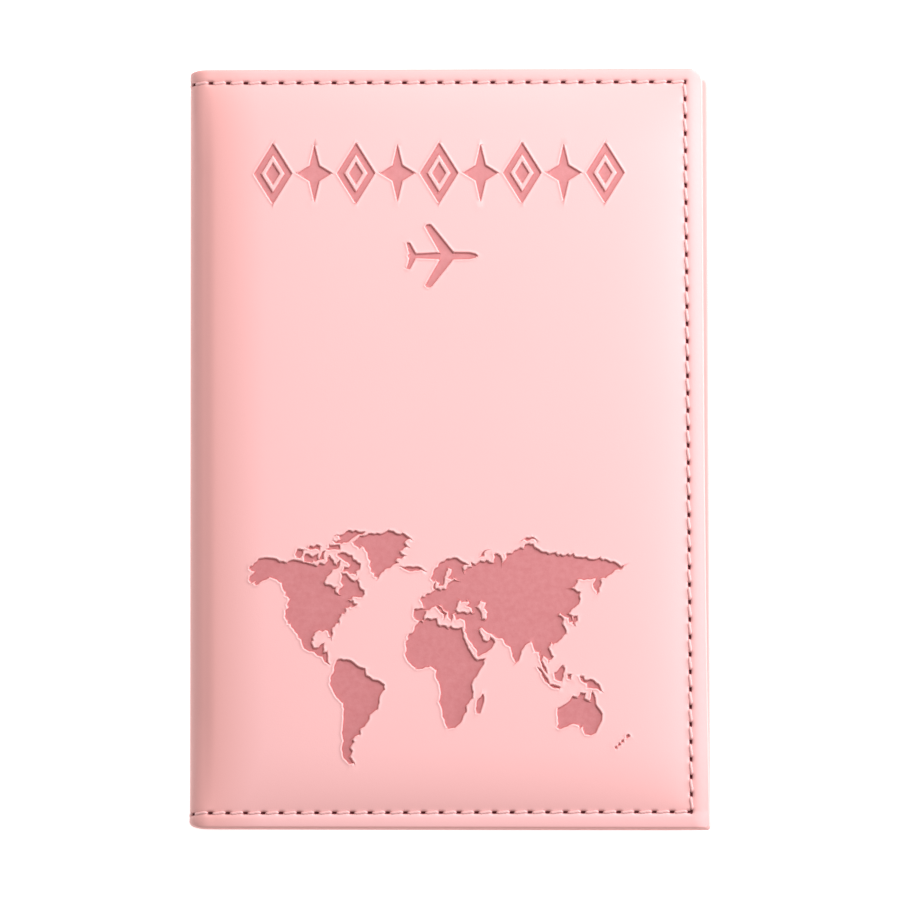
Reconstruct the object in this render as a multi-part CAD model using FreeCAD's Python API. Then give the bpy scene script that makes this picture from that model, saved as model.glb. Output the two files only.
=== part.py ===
"""Passport holder: a padded leather bifold that holds one passport and a few cards.

Frame: millimetres. The closed holder lies on its back cover, on z = 0. +Z is its thickness,
+Y points to the holder's top edge, and the spine is at -X. The origin is the centre of the
bounding box's bottom. Each cover is built as layers at a height above the middle plane, and
the back cover uses the same layers turned upside down.
"""
import FreeCAD, Part
import math
import os

Vector = FreeCAD.Vector

# Driving dimensions of the closed holder
HOLDER_WIDTH = 98.0
HOLDER_HEIGHT = 144.0
HOLDER_THICKNESS = 12.8
FRONT_SETBACK = 1.1
CORNER_RADIUS = 2.0

# Layers of one cover, as heights above the middle plane
PLATEAU_TOP = HOLDER_THICKNESS / 2
RIM_TOP = 5.0
SKIN = 0.8
SKIN_UNDERSIDE = RIM_TOP - SKIN
LINING_TOP = 3.7
LINING_UNDERSIDE = 3.4
PANEL_UNDERSIDE = 3.0
POCKET_SHEET = 0.3
SLEEVE_TOP = 2.6
SLEEVE_UNDERSIDE = 2.2

# Outline of the padding under the skin
PAD_FOOT_INSET = 3.8
PAD_SHOULDER = 7.5
PAD_CORNER_RADIUS = 3.0

# Turned-in edges, boards and inner pieces
HEM_WIDTH = 5.0
BOARD_CLEARANCE = 0.2
LINING_INSET = 1.4
PANEL_SPINE_GAP = 0.6
SLEEVE_DEPTH = 70.0
SLEEVE_RIM = 4.0
SLEEVE_MOUTH_DIP = 10.0
CARD_POCKET_TOPS = {"upper": 16.0, "middle": 2.0, "lower": -12.0}
CARD_DEPTH = 44.0
THUMB_NOTCH_RADIUS = 22.0
THUMB_NOTCH_DEPTH = 5.0

# The spine is half a tube; the folds lie on its two diagonals
SPINE_RADIUS = RIM_TOP
FOLD_GAP = 0.3
FOLD_ANGLE = 45.0

# Stitching
STITCH_PITCH = 3.35
STITCH_LENGTH = 2.6
STITCH_WIDTH = 0.6
STITCH_PROUD = 0.2
OUTER_STITCH_TIP = 4.1
INNER_STITCH_TIP = 4.05
SPINE_INNER_STITCH_DEPTH = 0.2
SEAM_INSET_ENDS = 2.4
SEAM_INSET_SIDE = 2.9
SPINE_STITCH_SINK = 0.17
SPINE_STITCH_ANGLES = (160, 200)
HIDDEN_SEAM_SINK = 0.05
POCKET_SIDE_SEAM = 1.4
MOUTH_SEAM_INSET = 2.0

# Values that follow from the driving dimensions
HALF_HEIGHT = HOLDER_HEIGHT / 2
MIDDLE = HOLDER_THICKNESS / 2
BACK_EDGE = HOLDER_WIDTH / 2
FRONT_EDGE = BACK_EDGE - FRONT_SETBACK
SPINE_X = -HOLDER_WIDTH / 2 + SPINE_RADIUS
SEAM_Y = HALF_HEIGHT - SEAM_INSET_ENDS


def rounded_outline(x0, x1, y0, y1, left_radius, right_radius, z):
    """Closed wire of a rectangle whose left and right corners are rounded."""
    corners = [(x0, y0, left_radius), (x1, y0, right_radius),
               (x1, y1, right_radius), (x0, y1, left_radius)]
    centres = [(1, 1), (-1, 1), (-1, -1), (1, -1)]
    edges = []
    previous = None
    first = None
    for index, (x, y, radius) in enumerate(corners):
        start_angle = 180 + 90 * index
        cx = x + centres[index][0] * radius
        cy = y + centres[index][1] * radius
        points = []
        for step in (0, 45, 90):
            angle = math.radians(start_angle + step)
            points.append(Vector(cx + radius * math.cos(angle), cy + radius * math.sin(angle), z))
        if previous is None:
            first = points[0]
        elif (previous - points[0]).Length > 1e-6:
            edges.append(Part.LineSegment(previous, points[0]).toShape())
        if radius > 0:
            edges.append(Part.Arc(*points).toShape())
        previous = points[2]
    edges.append(Part.LineSegment(previous, first).toShape())
    return Part.Wire(edges)


def plate(x0, x1, y0, y1, low, high, left_radius=0.0, right_radius=0.0):
    """Flat sheet with rounded corners between two heights."""
    face = Part.Face(rounded_outline(x0, x1, y0, y1, left_radius, right_radius, MIDDLE + low))
    return face.extrude(Vector(0, 0, high - low))


def padding(edge_x, foot_height, top_height):
    """Shallow mound of the padding: a loft from its foot outline to its flat top."""
    foot = rounded_outline(SPINE_X, edge_x - PAD_FOOT_INSET, -HALF_HEIGHT + PAD_FOOT_INSET,
                           HALF_HEIGHT - PAD_FOOT_INSET, PAD_CORNER_RADIUS, PAD_CORNER_RADIUS,
                           MIDDLE + foot_height)
    inset = PAD_FOOT_INSET + PAD_SHOULDER
    top = rounded_outline(SPINE_X + PAD_SHOULDER, edge_x - inset, -HALF_HEIGHT + inset,
                          HALF_HEIGHT - inset, PAD_CORNER_RADIUS, PAD_CORNER_RADIUS,
                          MIDDLE + top_height)
    return Part.makeLoft([foot, top], True, True)


def bend(inner, outer, start_angle, end_angle, y0, y1):
    """Part of the half tube round the spine, between two angles about its centre line."""
    def on_circle(radius, angle):
        turn = math.radians(angle)
        return Vector(SPINE_X + radius * math.cos(turn), y0, MIDDLE + radius * math.sin(turn))

    middle_angle = (start_angle + end_angle) / 2
    outer_arc = Part.Arc(on_circle(outer, start_angle), on_circle(outer, middle_angle),
                         on_circle(outer, end_angle)).toShape()
    inner_arc = Part.Arc(on_circle(inner, end_angle), on_circle(inner, middle_angle),
                         on_circle(inner, start_angle)).toShape()
    end_line = Part.LineSegment(on_circle(outer, end_angle), on_circle(inner, end_angle)).toShape()
    start_line = Part.LineSegment(on_circle(inner, start_angle), on_circle(outer, start_angle)).toShape()
    wire = Part.Wire([outer_arc, end_line, inner_arc, start_line])
    return Part.Face(wire).extrude(Vector(0, y1 - y0, 0))


def fold_cut(radius):
    """Angle that leaves half of the fold gap beside the diagonal at a radius."""
    return math.degrees(FOLD_GAP / 2 / radius)


def cover_bend(inner, outer, y0, y1):
    """The cover's own share of the half tube, from its flat part to the fold."""
    return bend(inner, outer, 90, 90 + FOLD_ANGLE - fold_cut(inner), y0, y1)


def spine_bend(inner, outer, y0, y1):
    """The spine's share of the half tube, between the two folds."""
    half = 90 - FOLD_ANGLE - fold_cut(inner)
    return bend(inner, outer, 180 - half, 180 + half, y0, y1)


def turned_over(shape):
    """The same layers for the back cover, below the middle plane."""
    return shape.mirror(Vector(0, 0, MIDDLE), Vector(0, 0, 1))


def cover_leather(edge_x):
    """Outer skin of one cover with its mound, its hem and its share of the bend."""
    sheet = plate(SPINE_X, edge_x, -HALF_HEIGHT, HALF_HEIGHT, LINING_TOP, RIM_TOP,
                  0.0, CORNER_RADIUS)
    skin = sheet.fuse(padding(edge_x, RIM_TOP, PLATEAU_TOP))
    skin = skin.cut(padding(edge_x, SKIN_UNDERSIDE, PLATEAU_TOP - SKIN))
    board_room = plate(SPINE_X - 1.0, edge_x - HEM_WIDTH, -HALF_HEIGHT + HEM_WIDTH,
                       HALF_HEIGHT - HEM_WIDTH, LINING_TOP, SKIN_UNDERSIDE, 0.0, CORNER_RADIUS)
    skin = skin.cut(board_room)
    skin = skin.fuse(cover_bend(SKIN_UNDERSIDE, SPINE_RADIUS, -HALF_HEIGHT, HALF_HEIGHT))
    for low, high in hem_spans():
        skin = skin.fuse(cover_bend(LINING_TOP, SKIN_UNDERSIDE, low, high))
    return skin.removeSplitter()


def hem_spans():
    """The two stretches of height where the skin is turned in at its ends."""
    return [(-HALF_HEIGHT, -HALF_HEIGHT + HEM_WIDTH), (HALF_HEIGHT - HEM_WIDTH, HALF_HEIGHT)]


def spine_leather():
    """The bent strip between the covers, with its hems at both ends."""
    strip = spine_bend(SKIN_UNDERSIDE, SPINE_RADIUS, -HALF_HEIGHT, HALF_HEIGHT)
    for low, high in hem_spans():
        strip = strip.fuse(spine_bend(LINING_TOP, SKIN_UNDERSIDE, low, high))
    return strip.removeSplitter()


def stiffener_board(edge_x):
    """Card board between the hems, under the padding."""
    inset = HEM_WIDTH + BOARD_CLEARANCE
    return plate(SPINE_X + BOARD_CLEARANCE, edge_x - inset, -HALF_HEIGHT + inset,
                 HALF_HEIGHT - inset, LINING_TOP, SKIN_UNDERSIDE, CORNER_RADIUS, CORNER_RADIUS)


def cover_lining(edge_x):
    """Inside cloth of one cover, with its share of the bend."""
    y = HALF_HEIGHT - LINING_INSET
    flat = plate(SPINE_X, edge_x - LINING_INSET, -y, y, LINING_UNDERSIDE, LINING_TOP,
                 0.0, CORNER_RADIUS)
    return flat.fuse(cover_bend(LINING_UNDERSIDE, LINING_TOP, -y, y)).removeSplitter()


def spine_lining():
    """Inside cloth of the bend."""
    y = HALF_HEIGHT - LINING_INSET
    return spine_bend(LINING_UNDERSIDE, LINING_TOP, -y, y)


def slip_panel():
    """Panel on the front's inside; its edge beside the spine is left open."""
    y = HALF_HEIGHT - LINING_INSET
    return plate(SPINE_X + PANEL_SPINE_GAP, FRONT_EDGE - LINING_INSET, -y, y,
                 PANEL_UNDERSIDE, LINING_UNDERSIDE, CORNER_RADIUS, CORNER_RADIUS)


def card_pocket(layer, top_y):
    """One pocket sheet with a thumb notch in its top edge, on top of the sheets before it."""
    high = PANEL_UNDERSIDE - layer * POCKET_SHEET
    low = high - POCKET_SHEET
    x0 = SPINE_X + PANEL_SPINE_GAP
    x1 = FRONT_EDGE - LINING_INSET
    sheet = plate(x0, x1, -HALF_HEIGHT + LINING_INSET, top_y, low, high, 0.5, 0.5)
    centre = Vector((x0 + x1) / 2, top_y + THUMB_NOTCH_RADIUS - THUMB_NOTCH_DEPTH, MIDDLE + low - 1)
    return sheet.cut(Part.makeCylinder(THUMB_NOTCH_RADIUS, POCKET_SHEET + 2, centre))


def passport_sleeve():
    """Sleeve on the back's inside: a sheet on a raised rim, open towards the spine."""
    x0 = BACK_EDGE - LINING_INSET - SLEEVE_DEPTH
    x1 = BACK_EDGE - LINING_INSET
    y = HALF_HEIGHT - LINING_INSET
    block = plate(x0, x1, -y, y, SLEEVE_UNDERSIDE, LINING_UNDERSIDE, 0.5, CORNER_RADIUS)
    room = plate(x0 - 1, x1 - SLEEVE_RIM, -y + SLEEVE_RIM, y - SLEEVE_RIM, SLEEVE_TOP,
                 LINING_UNDERSIDE, 0.0, CORNER_RADIUS)
    return block.cut(room).cut(mouth_dip())


def mouth_circle():
    """Centre x and radius of the round bite that shapes the sleeve's mouth."""
    half_chord = HALF_HEIGHT - 3 * SLEEVE_RIM
    radius = (half_chord ** 2 + SLEEVE_MOUTH_DIP ** 2) / (2 * SLEEVE_MOUTH_DIP)
    mouth_x = BACK_EDGE - LINING_INSET - SLEEVE_DEPTH
    return mouth_x + SLEEVE_MOUTH_DIP - radius, radius


def mouth_dip():
    """Shallow round bite out of the sleeve's mouth, so that the passport can be gripped."""
    centre_x, radius = mouth_circle()
    return Part.makeCylinder(radius, PLATEAU_TOP, Vector(centre_x, 0, MIDDLE))


def sleeve_mouth_seam():
    """Stitches along the sleeve's curved mouth, through the sleeve alone."""
    centre_x, radius = mouth_circle()
    seam_radius = radius + MOUTH_SEAM_INSET
    half_angle = math.asin((HALF_HEIGHT - 3 * SLEEVE_RIM - STITCH_PITCH) / radius)
    stitches = []
    for arc_length in evenly(-half_angle * seam_radius, half_angle * seam_radius):
        turn = arc_length / seam_radius
        centre = Vector(centre_x + seam_radius * math.cos(turn), seam_radius * math.sin(turn),
                        MIDDLE + SLEEVE_UNDERSIDE)
        along = Vector(-math.sin(turn), math.cos(turn), 0)
        stitches.append(stitch(centre, along, Vector(0, 0, -1), SLEEVE_TOP - SLEEVE_UNDERSIDE))
    return Part.makeCompound(stitches)


def stitch(centre, along, out, depth):
    """One stitch: a bar that stands proud of the surface and narrows into the layers below."""
    half = STITCH_LENGTH / 2
    profile = [centre + along * -half + out * STITCH_PROUD,
               centre + along * half + out * STITCH_PROUD,
               centre + along * half * 0.9 - out * depth,
               centre + along * -half * 0.9 - out * depth]
    side = along.cross(out).normalize() * STITCH_WIDTH
    start = side * -0.5
    points = [point + start for point in profile]
    wire = Part.makePolygon(points + points[:1])
    return Part.Face(wire).extrude(side)


def evenly(start, end):
    """Middles of the stitches that fit between two ends of a straight seam."""
    length = abs(end - start)
    count = max(1, round(length / STITCH_PITCH))
    step = (end - start) / count
    return [start + step * (index + 0.5) for index in range(count)]


def edge_seam(edge_x, surface_at, out, tip):
    """The seam along a cover's top, outer and bottom edges, each stitch as deep as its tip."""
    side_x = edge_x - SEAM_INSET_SIDE
    places = [(x, y, Vector(1, 0, 0)) for y in (-SEAM_Y, SEAM_Y) for x in evenly(SPINE_X, side_x)]
    places += [(side_x, y, Vector(0, 1, 0)) for y in evenly(-SEAM_Y, SEAM_Y)]
    stitches = []
    for x, y, along in places:
        height = surface_at(x, y)
        centre = Vector(x, y, MIDDLE + height)
        stitches.append(stitch(centre, along, out, abs(height - tip)))
    return Part.makeCompound(stitches)


def front_inside(x, y):
    """Height of the innermost sheet of the front cover at a place on its seam."""
    if x < SPINE_X + PANEL_SPINE_GAP + STITCH_LENGTH / 2:
        return LINING_UNDERSIDE
    sheets = sum(1 for top in CARD_POCKET_TOPS.values() if y < top)
    return PANEL_UNDERSIDE - sheets * POCKET_SHEET


def back_inside(x, y):
    """The same for the back cover, whose sleeve starts further from the spine."""
    if x < BACK_EDGE - LINING_INSET - SLEEVE_DEPTH + STITCH_LENGTH / 2:
        return LINING_UNDERSIDE
    return SLEEVE_UNDERSIDE


def outside(x, y):
    """Height of the outer skin along the seam."""
    return RIM_TOP


def spine_seam(radius, outward, depth):
    """Stitches over the bend, at its top and bottom ends."""
    stitches = []
    for y in (-SEAM_Y, SEAM_Y):
        for angle in SPINE_STITCH_ANGLES:
            turn = math.radians(angle)
            radial = Vector(math.cos(turn), 0, math.sin(turn))
            along = Vector(-math.sin(turn), 0, math.cos(turn))
            centre = Vector(SPINE_X, y, MIDDLE) + radial * (radius - SPINE_STITCH_SINK)
            stitches.append(stitch(centre, along, radial * outward, depth))
    return Part.makeCompound(stitches)


def pocket_side_seam():
    """Upright seam beside the spine that closes the card pockets there."""
    x = SPINE_X + PANEL_SPINE_GAP + POCKET_SIDE_SEAM
    stitches = []
    for y in evenly(-SEAM_Y + STITCH_PITCH, max(CARD_POCKET_TOPS.values())):
        centre = Vector(x, y, MIDDLE + front_inside(0, y))
        stitches.append(stitch(centre, Vector(0, 1, 0), Vector(0, 0, -1), POCKET_SHEET / 2))
    return Part.makeCompound(stitches)


def pocket_bottom_seams():
    """One level seam under each pocket; the two upper ones are hidden inside the stack."""
    x0 = SPINE_X + PANEL_SPINE_GAP + POCKET_SIDE_SEAM + STITCH_PITCH / 2
    x1 = FRONT_EDGE - SEAM_INSET_SIDE - STITCH_PITCH / 2
    stitches = []
    for layer, top in enumerate(CARD_POCKET_TOPS.values()):
        visible = layer == len(CARD_POCKET_TOPS) - 1
        surface = PANEL_UNDERSIDE - (layer + 1) * POCKET_SHEET
        height = surface if visible else surface + STITCH_PROUD + HIDDEN_SEAM_SINK
        for x in evenly(x0, x1):
            centre = Vector(x, top - CARD_DEPTH, MIDDLE + height)
            stitches.append(stitch(centre, Vector(1, 0, 0), Vector(0, 0, -1), HIDDEN_SEAM_SINK))
    return Part.makeCompound(stitches)


def export(name, shape):
    """Write one piece to its own file."""
    shape.exportStep(os.path.join("parts", name + ".step"))
    print(name, "solids", len(shape.Solids), "volume", round(shape.Volume, 1), "valid", shape.isValid())


def main():
    os.makedirs("parts", exist_ok=True)
    up = Vector(0, 0, 1)
    down = Vector(0, 0, -1)
    export("front_cover_leather", cover_leather(FRONT_EDGE))
    export("spine_leather", spine_leather())
    export("back_cover_leather", turned_over(cover_leather(BACK_EDGE)))
    export("front_foam_pad", padding(FRONT_EDGE, SKIN_UNDERSIDE, PLATEAU_TOP - SKIN))
    export("back_foam_pad", turned_over(padding(BACK_EDGE, SKIN_UNDERSIDE, PLATEAU_TOP - SKIN)))
    export("front_stiffener_board", stiffener_board(FRONT_EDGE))
    export("back_stiffener_board", turned_over(stiffener_board(BACK_EDGE)))
    export("front_lining", cover_lining(FRONT_EDGE))
    export("spine_lining", spine_lining())
    export("back_lining", turned_over(cover_lining(BACK_EDGE)))
    export("front_slip_panel", slip_panel())
    for layer, (name, top) in enumerate(CARD_POCKET_TOPS.items()):
        export("card_pocket_" + name, card_pocket(layer, top))
    export("back_passport_sleeve", turned_over(passport_sleeve()))
    export("front_outer_thread", edge_seam(FRONT_EDGE, outside, up, OUTER_STITCH_TIP))
    export("back_outer_thread", turned_over(edge_seam(BACK_EDGE, outside, up, OUTER_STITCH_TIP)))
    export("front_inner_thread", edge_seam(FRONT_EDGE, front_inside, down, INNER_STITCH_TIP))
    export("back_inner_thread",
           turned_over(edge_seam(BACK_EDGE, back_inside, down, INNER_STITCH_TIP)))
    export("spine_outer_thread", spine_seam(SPINE_RADIUS, 1, SPINE_RADIUS - OUTER_STITCH_TIP))
    export("spine_inner_thread", spine_seam(LINING_UNDERSIDE, -1, SPINE_INNER_STITCH_DEPTH))
    export("pocket_side_thread", pocket_side_seam())
    export("sleeve_mouth_thread", turned_over(sleeve_mouth_seam()))
    export("pocket_bottom_thread", pocket_bottom_seams())


main()
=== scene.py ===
"""Passport holder, closed: padded pink leather covers, stamped and sewn, around a lined inside.

Lengths in this script are millimetres and are turned into metres where a mesh is made.
A point of a cover is written as (u, y, h). u is the way along the skin from the middle of
the spine, y is the height of the page and h is the distance from the plane between the covers.
"""
import math

import bmesh
import bpy
import numpy as np
from mathutils import Matrix, Vector, geometry


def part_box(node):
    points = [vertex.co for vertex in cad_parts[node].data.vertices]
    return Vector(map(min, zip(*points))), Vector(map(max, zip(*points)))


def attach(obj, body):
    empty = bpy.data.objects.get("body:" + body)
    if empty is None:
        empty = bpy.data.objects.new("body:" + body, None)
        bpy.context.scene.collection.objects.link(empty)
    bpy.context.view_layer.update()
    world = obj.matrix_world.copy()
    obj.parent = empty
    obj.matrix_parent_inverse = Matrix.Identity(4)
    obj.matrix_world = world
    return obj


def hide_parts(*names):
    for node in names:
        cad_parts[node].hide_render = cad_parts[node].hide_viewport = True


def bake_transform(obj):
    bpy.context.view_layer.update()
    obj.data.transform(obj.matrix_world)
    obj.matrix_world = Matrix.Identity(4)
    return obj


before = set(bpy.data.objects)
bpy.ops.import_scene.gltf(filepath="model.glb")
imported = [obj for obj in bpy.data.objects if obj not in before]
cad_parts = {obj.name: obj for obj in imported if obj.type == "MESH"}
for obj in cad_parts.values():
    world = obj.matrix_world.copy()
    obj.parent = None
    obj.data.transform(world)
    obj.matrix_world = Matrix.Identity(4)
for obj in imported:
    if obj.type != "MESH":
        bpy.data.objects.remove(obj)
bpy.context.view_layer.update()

MM = 0.001


def box_mm(node):
    """Lowest and highest corner of a CAD node, in millimetres."""
    low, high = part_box(node)
    return np.array(low) / MM, np.array(high) / MM


# ---------------------------------------------------------------- sizes from the frame
FRONT_HIGH = box_mm("front_cover_leather")[1]
BACK_LOW, BACK_HIGH = box_mm("back_cover_leather")
MIDDLE = (FRONT_HIGH[2] + BACK_LOW[2]) / 2
SPINE_X = box_mm("front_foam_pad")[0][0]
SPINE_RADIUS = SPINE_X - box_mm("spine_leather")[0][0]
HALF_HEIGHT = FRONT_HIGH[1]
FRONT_EDGE = FRONT_HIGH[0]
BACK_EDGE = BACK_HIGH[0]
PLATEAU = FRONT_HIGH[2] - MIDDLE


def layer(node):
    """x and y ends of a flat piece, and the distance of its near and far face from the middle."""
    low, high = box_mm(node)
    near, far = sorted(abs(z - MIDDLE) for z in (low[2], high[2]))
    return (low[0], high[0], low[1], high[1]), near, far


_, HEM_UNDERSIDE, SKIN_UNDERSIDE = layer("front_stiffener_board")
PANEL_BOX, PANEL_FACE, LINING_FACE = layer("front_slip_panel")
SLEEVE_BOX, SLEEVE_FACE, _ = layer("back_passport_sleeve")
POCKETS = ("card_pocket_upper", "card_pocket_middle", "card_pocket_lower")

# ---------------------------------------------------------------- layers and seams
RIM = SPINE_RADIUS
SKIN = RIM - SKIN_UNDERSIDE
BEND = math.pi / 2 * SPINE_RADIUS
HEM_WIDTH = 5.0
ROLL_INSET = 0.5
ROLL_STEPS = 8
SPINE_END_REACH = 5.5     # the lower edge rises over this length of skin to round off the spine
SPINE_END_RISE = 0.9
SEAM_INSET = 2.4
SIDE_SEAM_INSET = 3.0
SIDE_SEAM_SLANT = 0.35
STITCHES_ON_END = 29
STITCHES_ON_SIDE = 42
HOLE_GAP_END = 1.22       # bare length between two stitches, where the needle hole shows
HOLE_GAP_SIDE = 1.2
LINING_INSET = 1.4
SHEET_GAP = 0.04


def place(u, y, h, side):
    """World position in millimetres of points given along the skin; side is 1 front, -1 back."""
    u, y, h = np.broadcast_arrays(np.asarray(u, float), y, h)
    angle = math.pi - np.minimum(u, BEND) / SPINE_RADIUS
    on_bend = u < BEND
    x = np.where(on_bend, SPINE_X + h * np.cos(angle), SPINE_X + u - BEND)
    z = np.where(on_bend, h * np.sin(angle), h)
    return np.stack([x, y, MIDDLE + side * z], axis=-1)


def along_skin(x):
    """u of a flat place on a cover from its x."""
    return x - SPINE_X + BEND


def eased(share):
    """Smooth rise from 0 to 1 as a share goes from 0 to 1."""
    share = np.clip(share, 0, 1)
    return share * share * (3 - 2 * share)


def bell(distance):
    """1 at distance 0, falling to 0 on both sides."""
    return np.exp(-distance ** 2)


# ---------------------------------------------------------------- mesh helpers
def make_object(name, points, faces, material, smooth_angle=55.0, layers=None):
    """Mesh object from points in millimetres, with optional named float layers per point."""
    mesh = bpy.data.meshes.new(name)
    mesh.from_pydata((np.asarray(points) * MM).tolist(), [], faces)
    for layer_name, values in (layers or {}).items():
        made = mesh.attributes.new(layer_name, "FLOAT", "POINT")
        made.data.foreach_set("value", np.asarray(values, np.float32))
    mesh.validate()
    work = bmesh.new()
    work.from_mesh(mesh)
    bmesh.ops.recalc_face_normals(work, faces=work.faces)
    work.to_mesh(mesh)
    work.free()
    mesh.shade_smooth()
    mesh.set_sharp_from_angle(angle=math.radians(smooth_angle))
    mesh.materials.append(material)
    obj = bpy.data.objects.new(name, mesh)
    bpy.context.scene.collection.objects.link(obj)
    return obj


def strip_faces(first, second):
    """Faces between two rows of point numbers of the same length."""
    faces = []
    for corners in zip(first, first[1:], second[1:], second):
        face = list(dict.fromkeys(corners))
        if len(face) > 2:
            faces.append(face)
    return faces


def triangulate(loop, inside):
    """Delaunay triangles of a closed loop with more points inside it."""
    points = [Vector(p) for p in np.vstack([loop, inside])]
    result = geometry.delaunay_2d_cdt(points, [], [list(range(len(loop)))], 1, 1e-5)
    number = {}
    for out_index, originals in enumerate(result[3]):
        for original in originals:
            number[original] = out_index
    flat = np.array([(p.x, p.y) for p in result[0]])
    return flat, [list(face) for face in result[2]], [number[i] for i in range(len(loop))]


def thinned(points, cell):
    """Points left when each small square of the plane keeps only its first one."""
    keys = np.floor(points / cell).astype(np.int64)
    first = np.unique(keys, axis=0, return_index=True)[1]
    return points[np.sort(first)]


def grid(u0, u1, y0, y1, step_u, step_y):
    """Staggered grid of points over a rectangle."""
    columns = np.arange(u0, u1, step_u)
    rows = np.arange(y0, y1, step_y)
    u, y = np.meshgrid(columns, rows)
    u = u + step_u / 2 * (np.arange(len(rows)) % 2)[:, None]
    return np.stack([u.ravel(), y.ravel()], axis=1)


def walk(start, end, step):
    """Even steps from start to end, with both ends left out."""
    count = max(2, round(abs(end - start) / step))
    return np.linspace(start, end, count + 1)[1:-1]


def corner_arc(cu, cy, radius, start_angle, steps=8):
    """Points round a quarter turn, each with its outward normal."""
    stations = []
    for angle in np.radians(np.linspace(start_angle, start_angle + 90, steps + 1)):
        nu, ny = math.cos(angle), math.sin(angle)
        stations.append((cu + radius * nu, cy + radius * ny, nu, ny))
    return stations


def resampled(loop, step):
    """Points at an even step along a closed outline, with the outward normal at each."""
    loop = np.asarray(loop, float)
    after = np.roll(loop, -1, axis=0)
    if np.sum(loop[:, 0] * after[:, 1] - after[:, 0] * loop[:, 1]) < 0:
        loop = loop[::-1]
    points = []
    normals = []
    for start, end in zip(loop, np.roll(loop, -1, axis=0)):
        run = end - start
        length = np.hypot(*run)
        count = max(1, int(round(length / step)))
        normal = np.array([run[1], -run[0]]) / length
        for part in range(count):
            points.append(start + run * part / count)
            normals.append(normal)
    return np.array(points), np.array(normals)


def signed_distance(points, loops):
    """Distance to the nearest outline, negative inside; nested outlines are holes."""
    starts = np.vstack([np.asarray(loop, float) for loop in loops])
    ends = np.vstack([np.roll(np.asarray(loop, float), -1, axis=0) for loop in loops])
    run = ends - starts
    length_squared = np.sum(run * run, axis=1)
    slope = np.where(run[:, 1] == 0, 1e-9, run[:, 1])
    result = np.empty(len(points))
    batch = 3000
    for first in range(0, len(points), batch):
        p = points[first:first + batch, None, :]
        to_start = p - starts[None]
        t = np.clip(np.sum(to_start * run, axis=2) / length_squared, 0, 1)
        gap = to_start - t[..., None] * run
        distance = np.sqrt(np.min(np.sum(gap * gap, axis=2), axis=1))
        above_start = starts[None, :, 1] > p[..., 1]
        above_end = ends[None, :, 1] > p[..., 1]
        crossing = starts[None, :, 0] + (p[..., 1] - starts[None, :, 1]) / slope * run[:, 0]
        crosses = (above_start != above_end) & (p[..., 0] < crossing)
        inside = np.sum(crosses, axis=1) % 2 == 1
        result[first:first + batch] = np.where(inside, -distance, distance)
    return result


# ---------------------------------------------------------------- stamped shapes
# factors that lay a longitude and a latitude on the cover, in millimetres
MAP_X = (-4.71, 0.2209, -0.0202)
MAP_Y = (-43.9, 16.84, 0.07, 1.5)
MAP_LATITUDES = 60.0
COAST_STEP = 0.55
SOUTH_TEETH = 0.05
NORTH_TEETH = 0.16
TEETH_FROM_Y = -46.0
TEETH_OVER = 14.0

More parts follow.
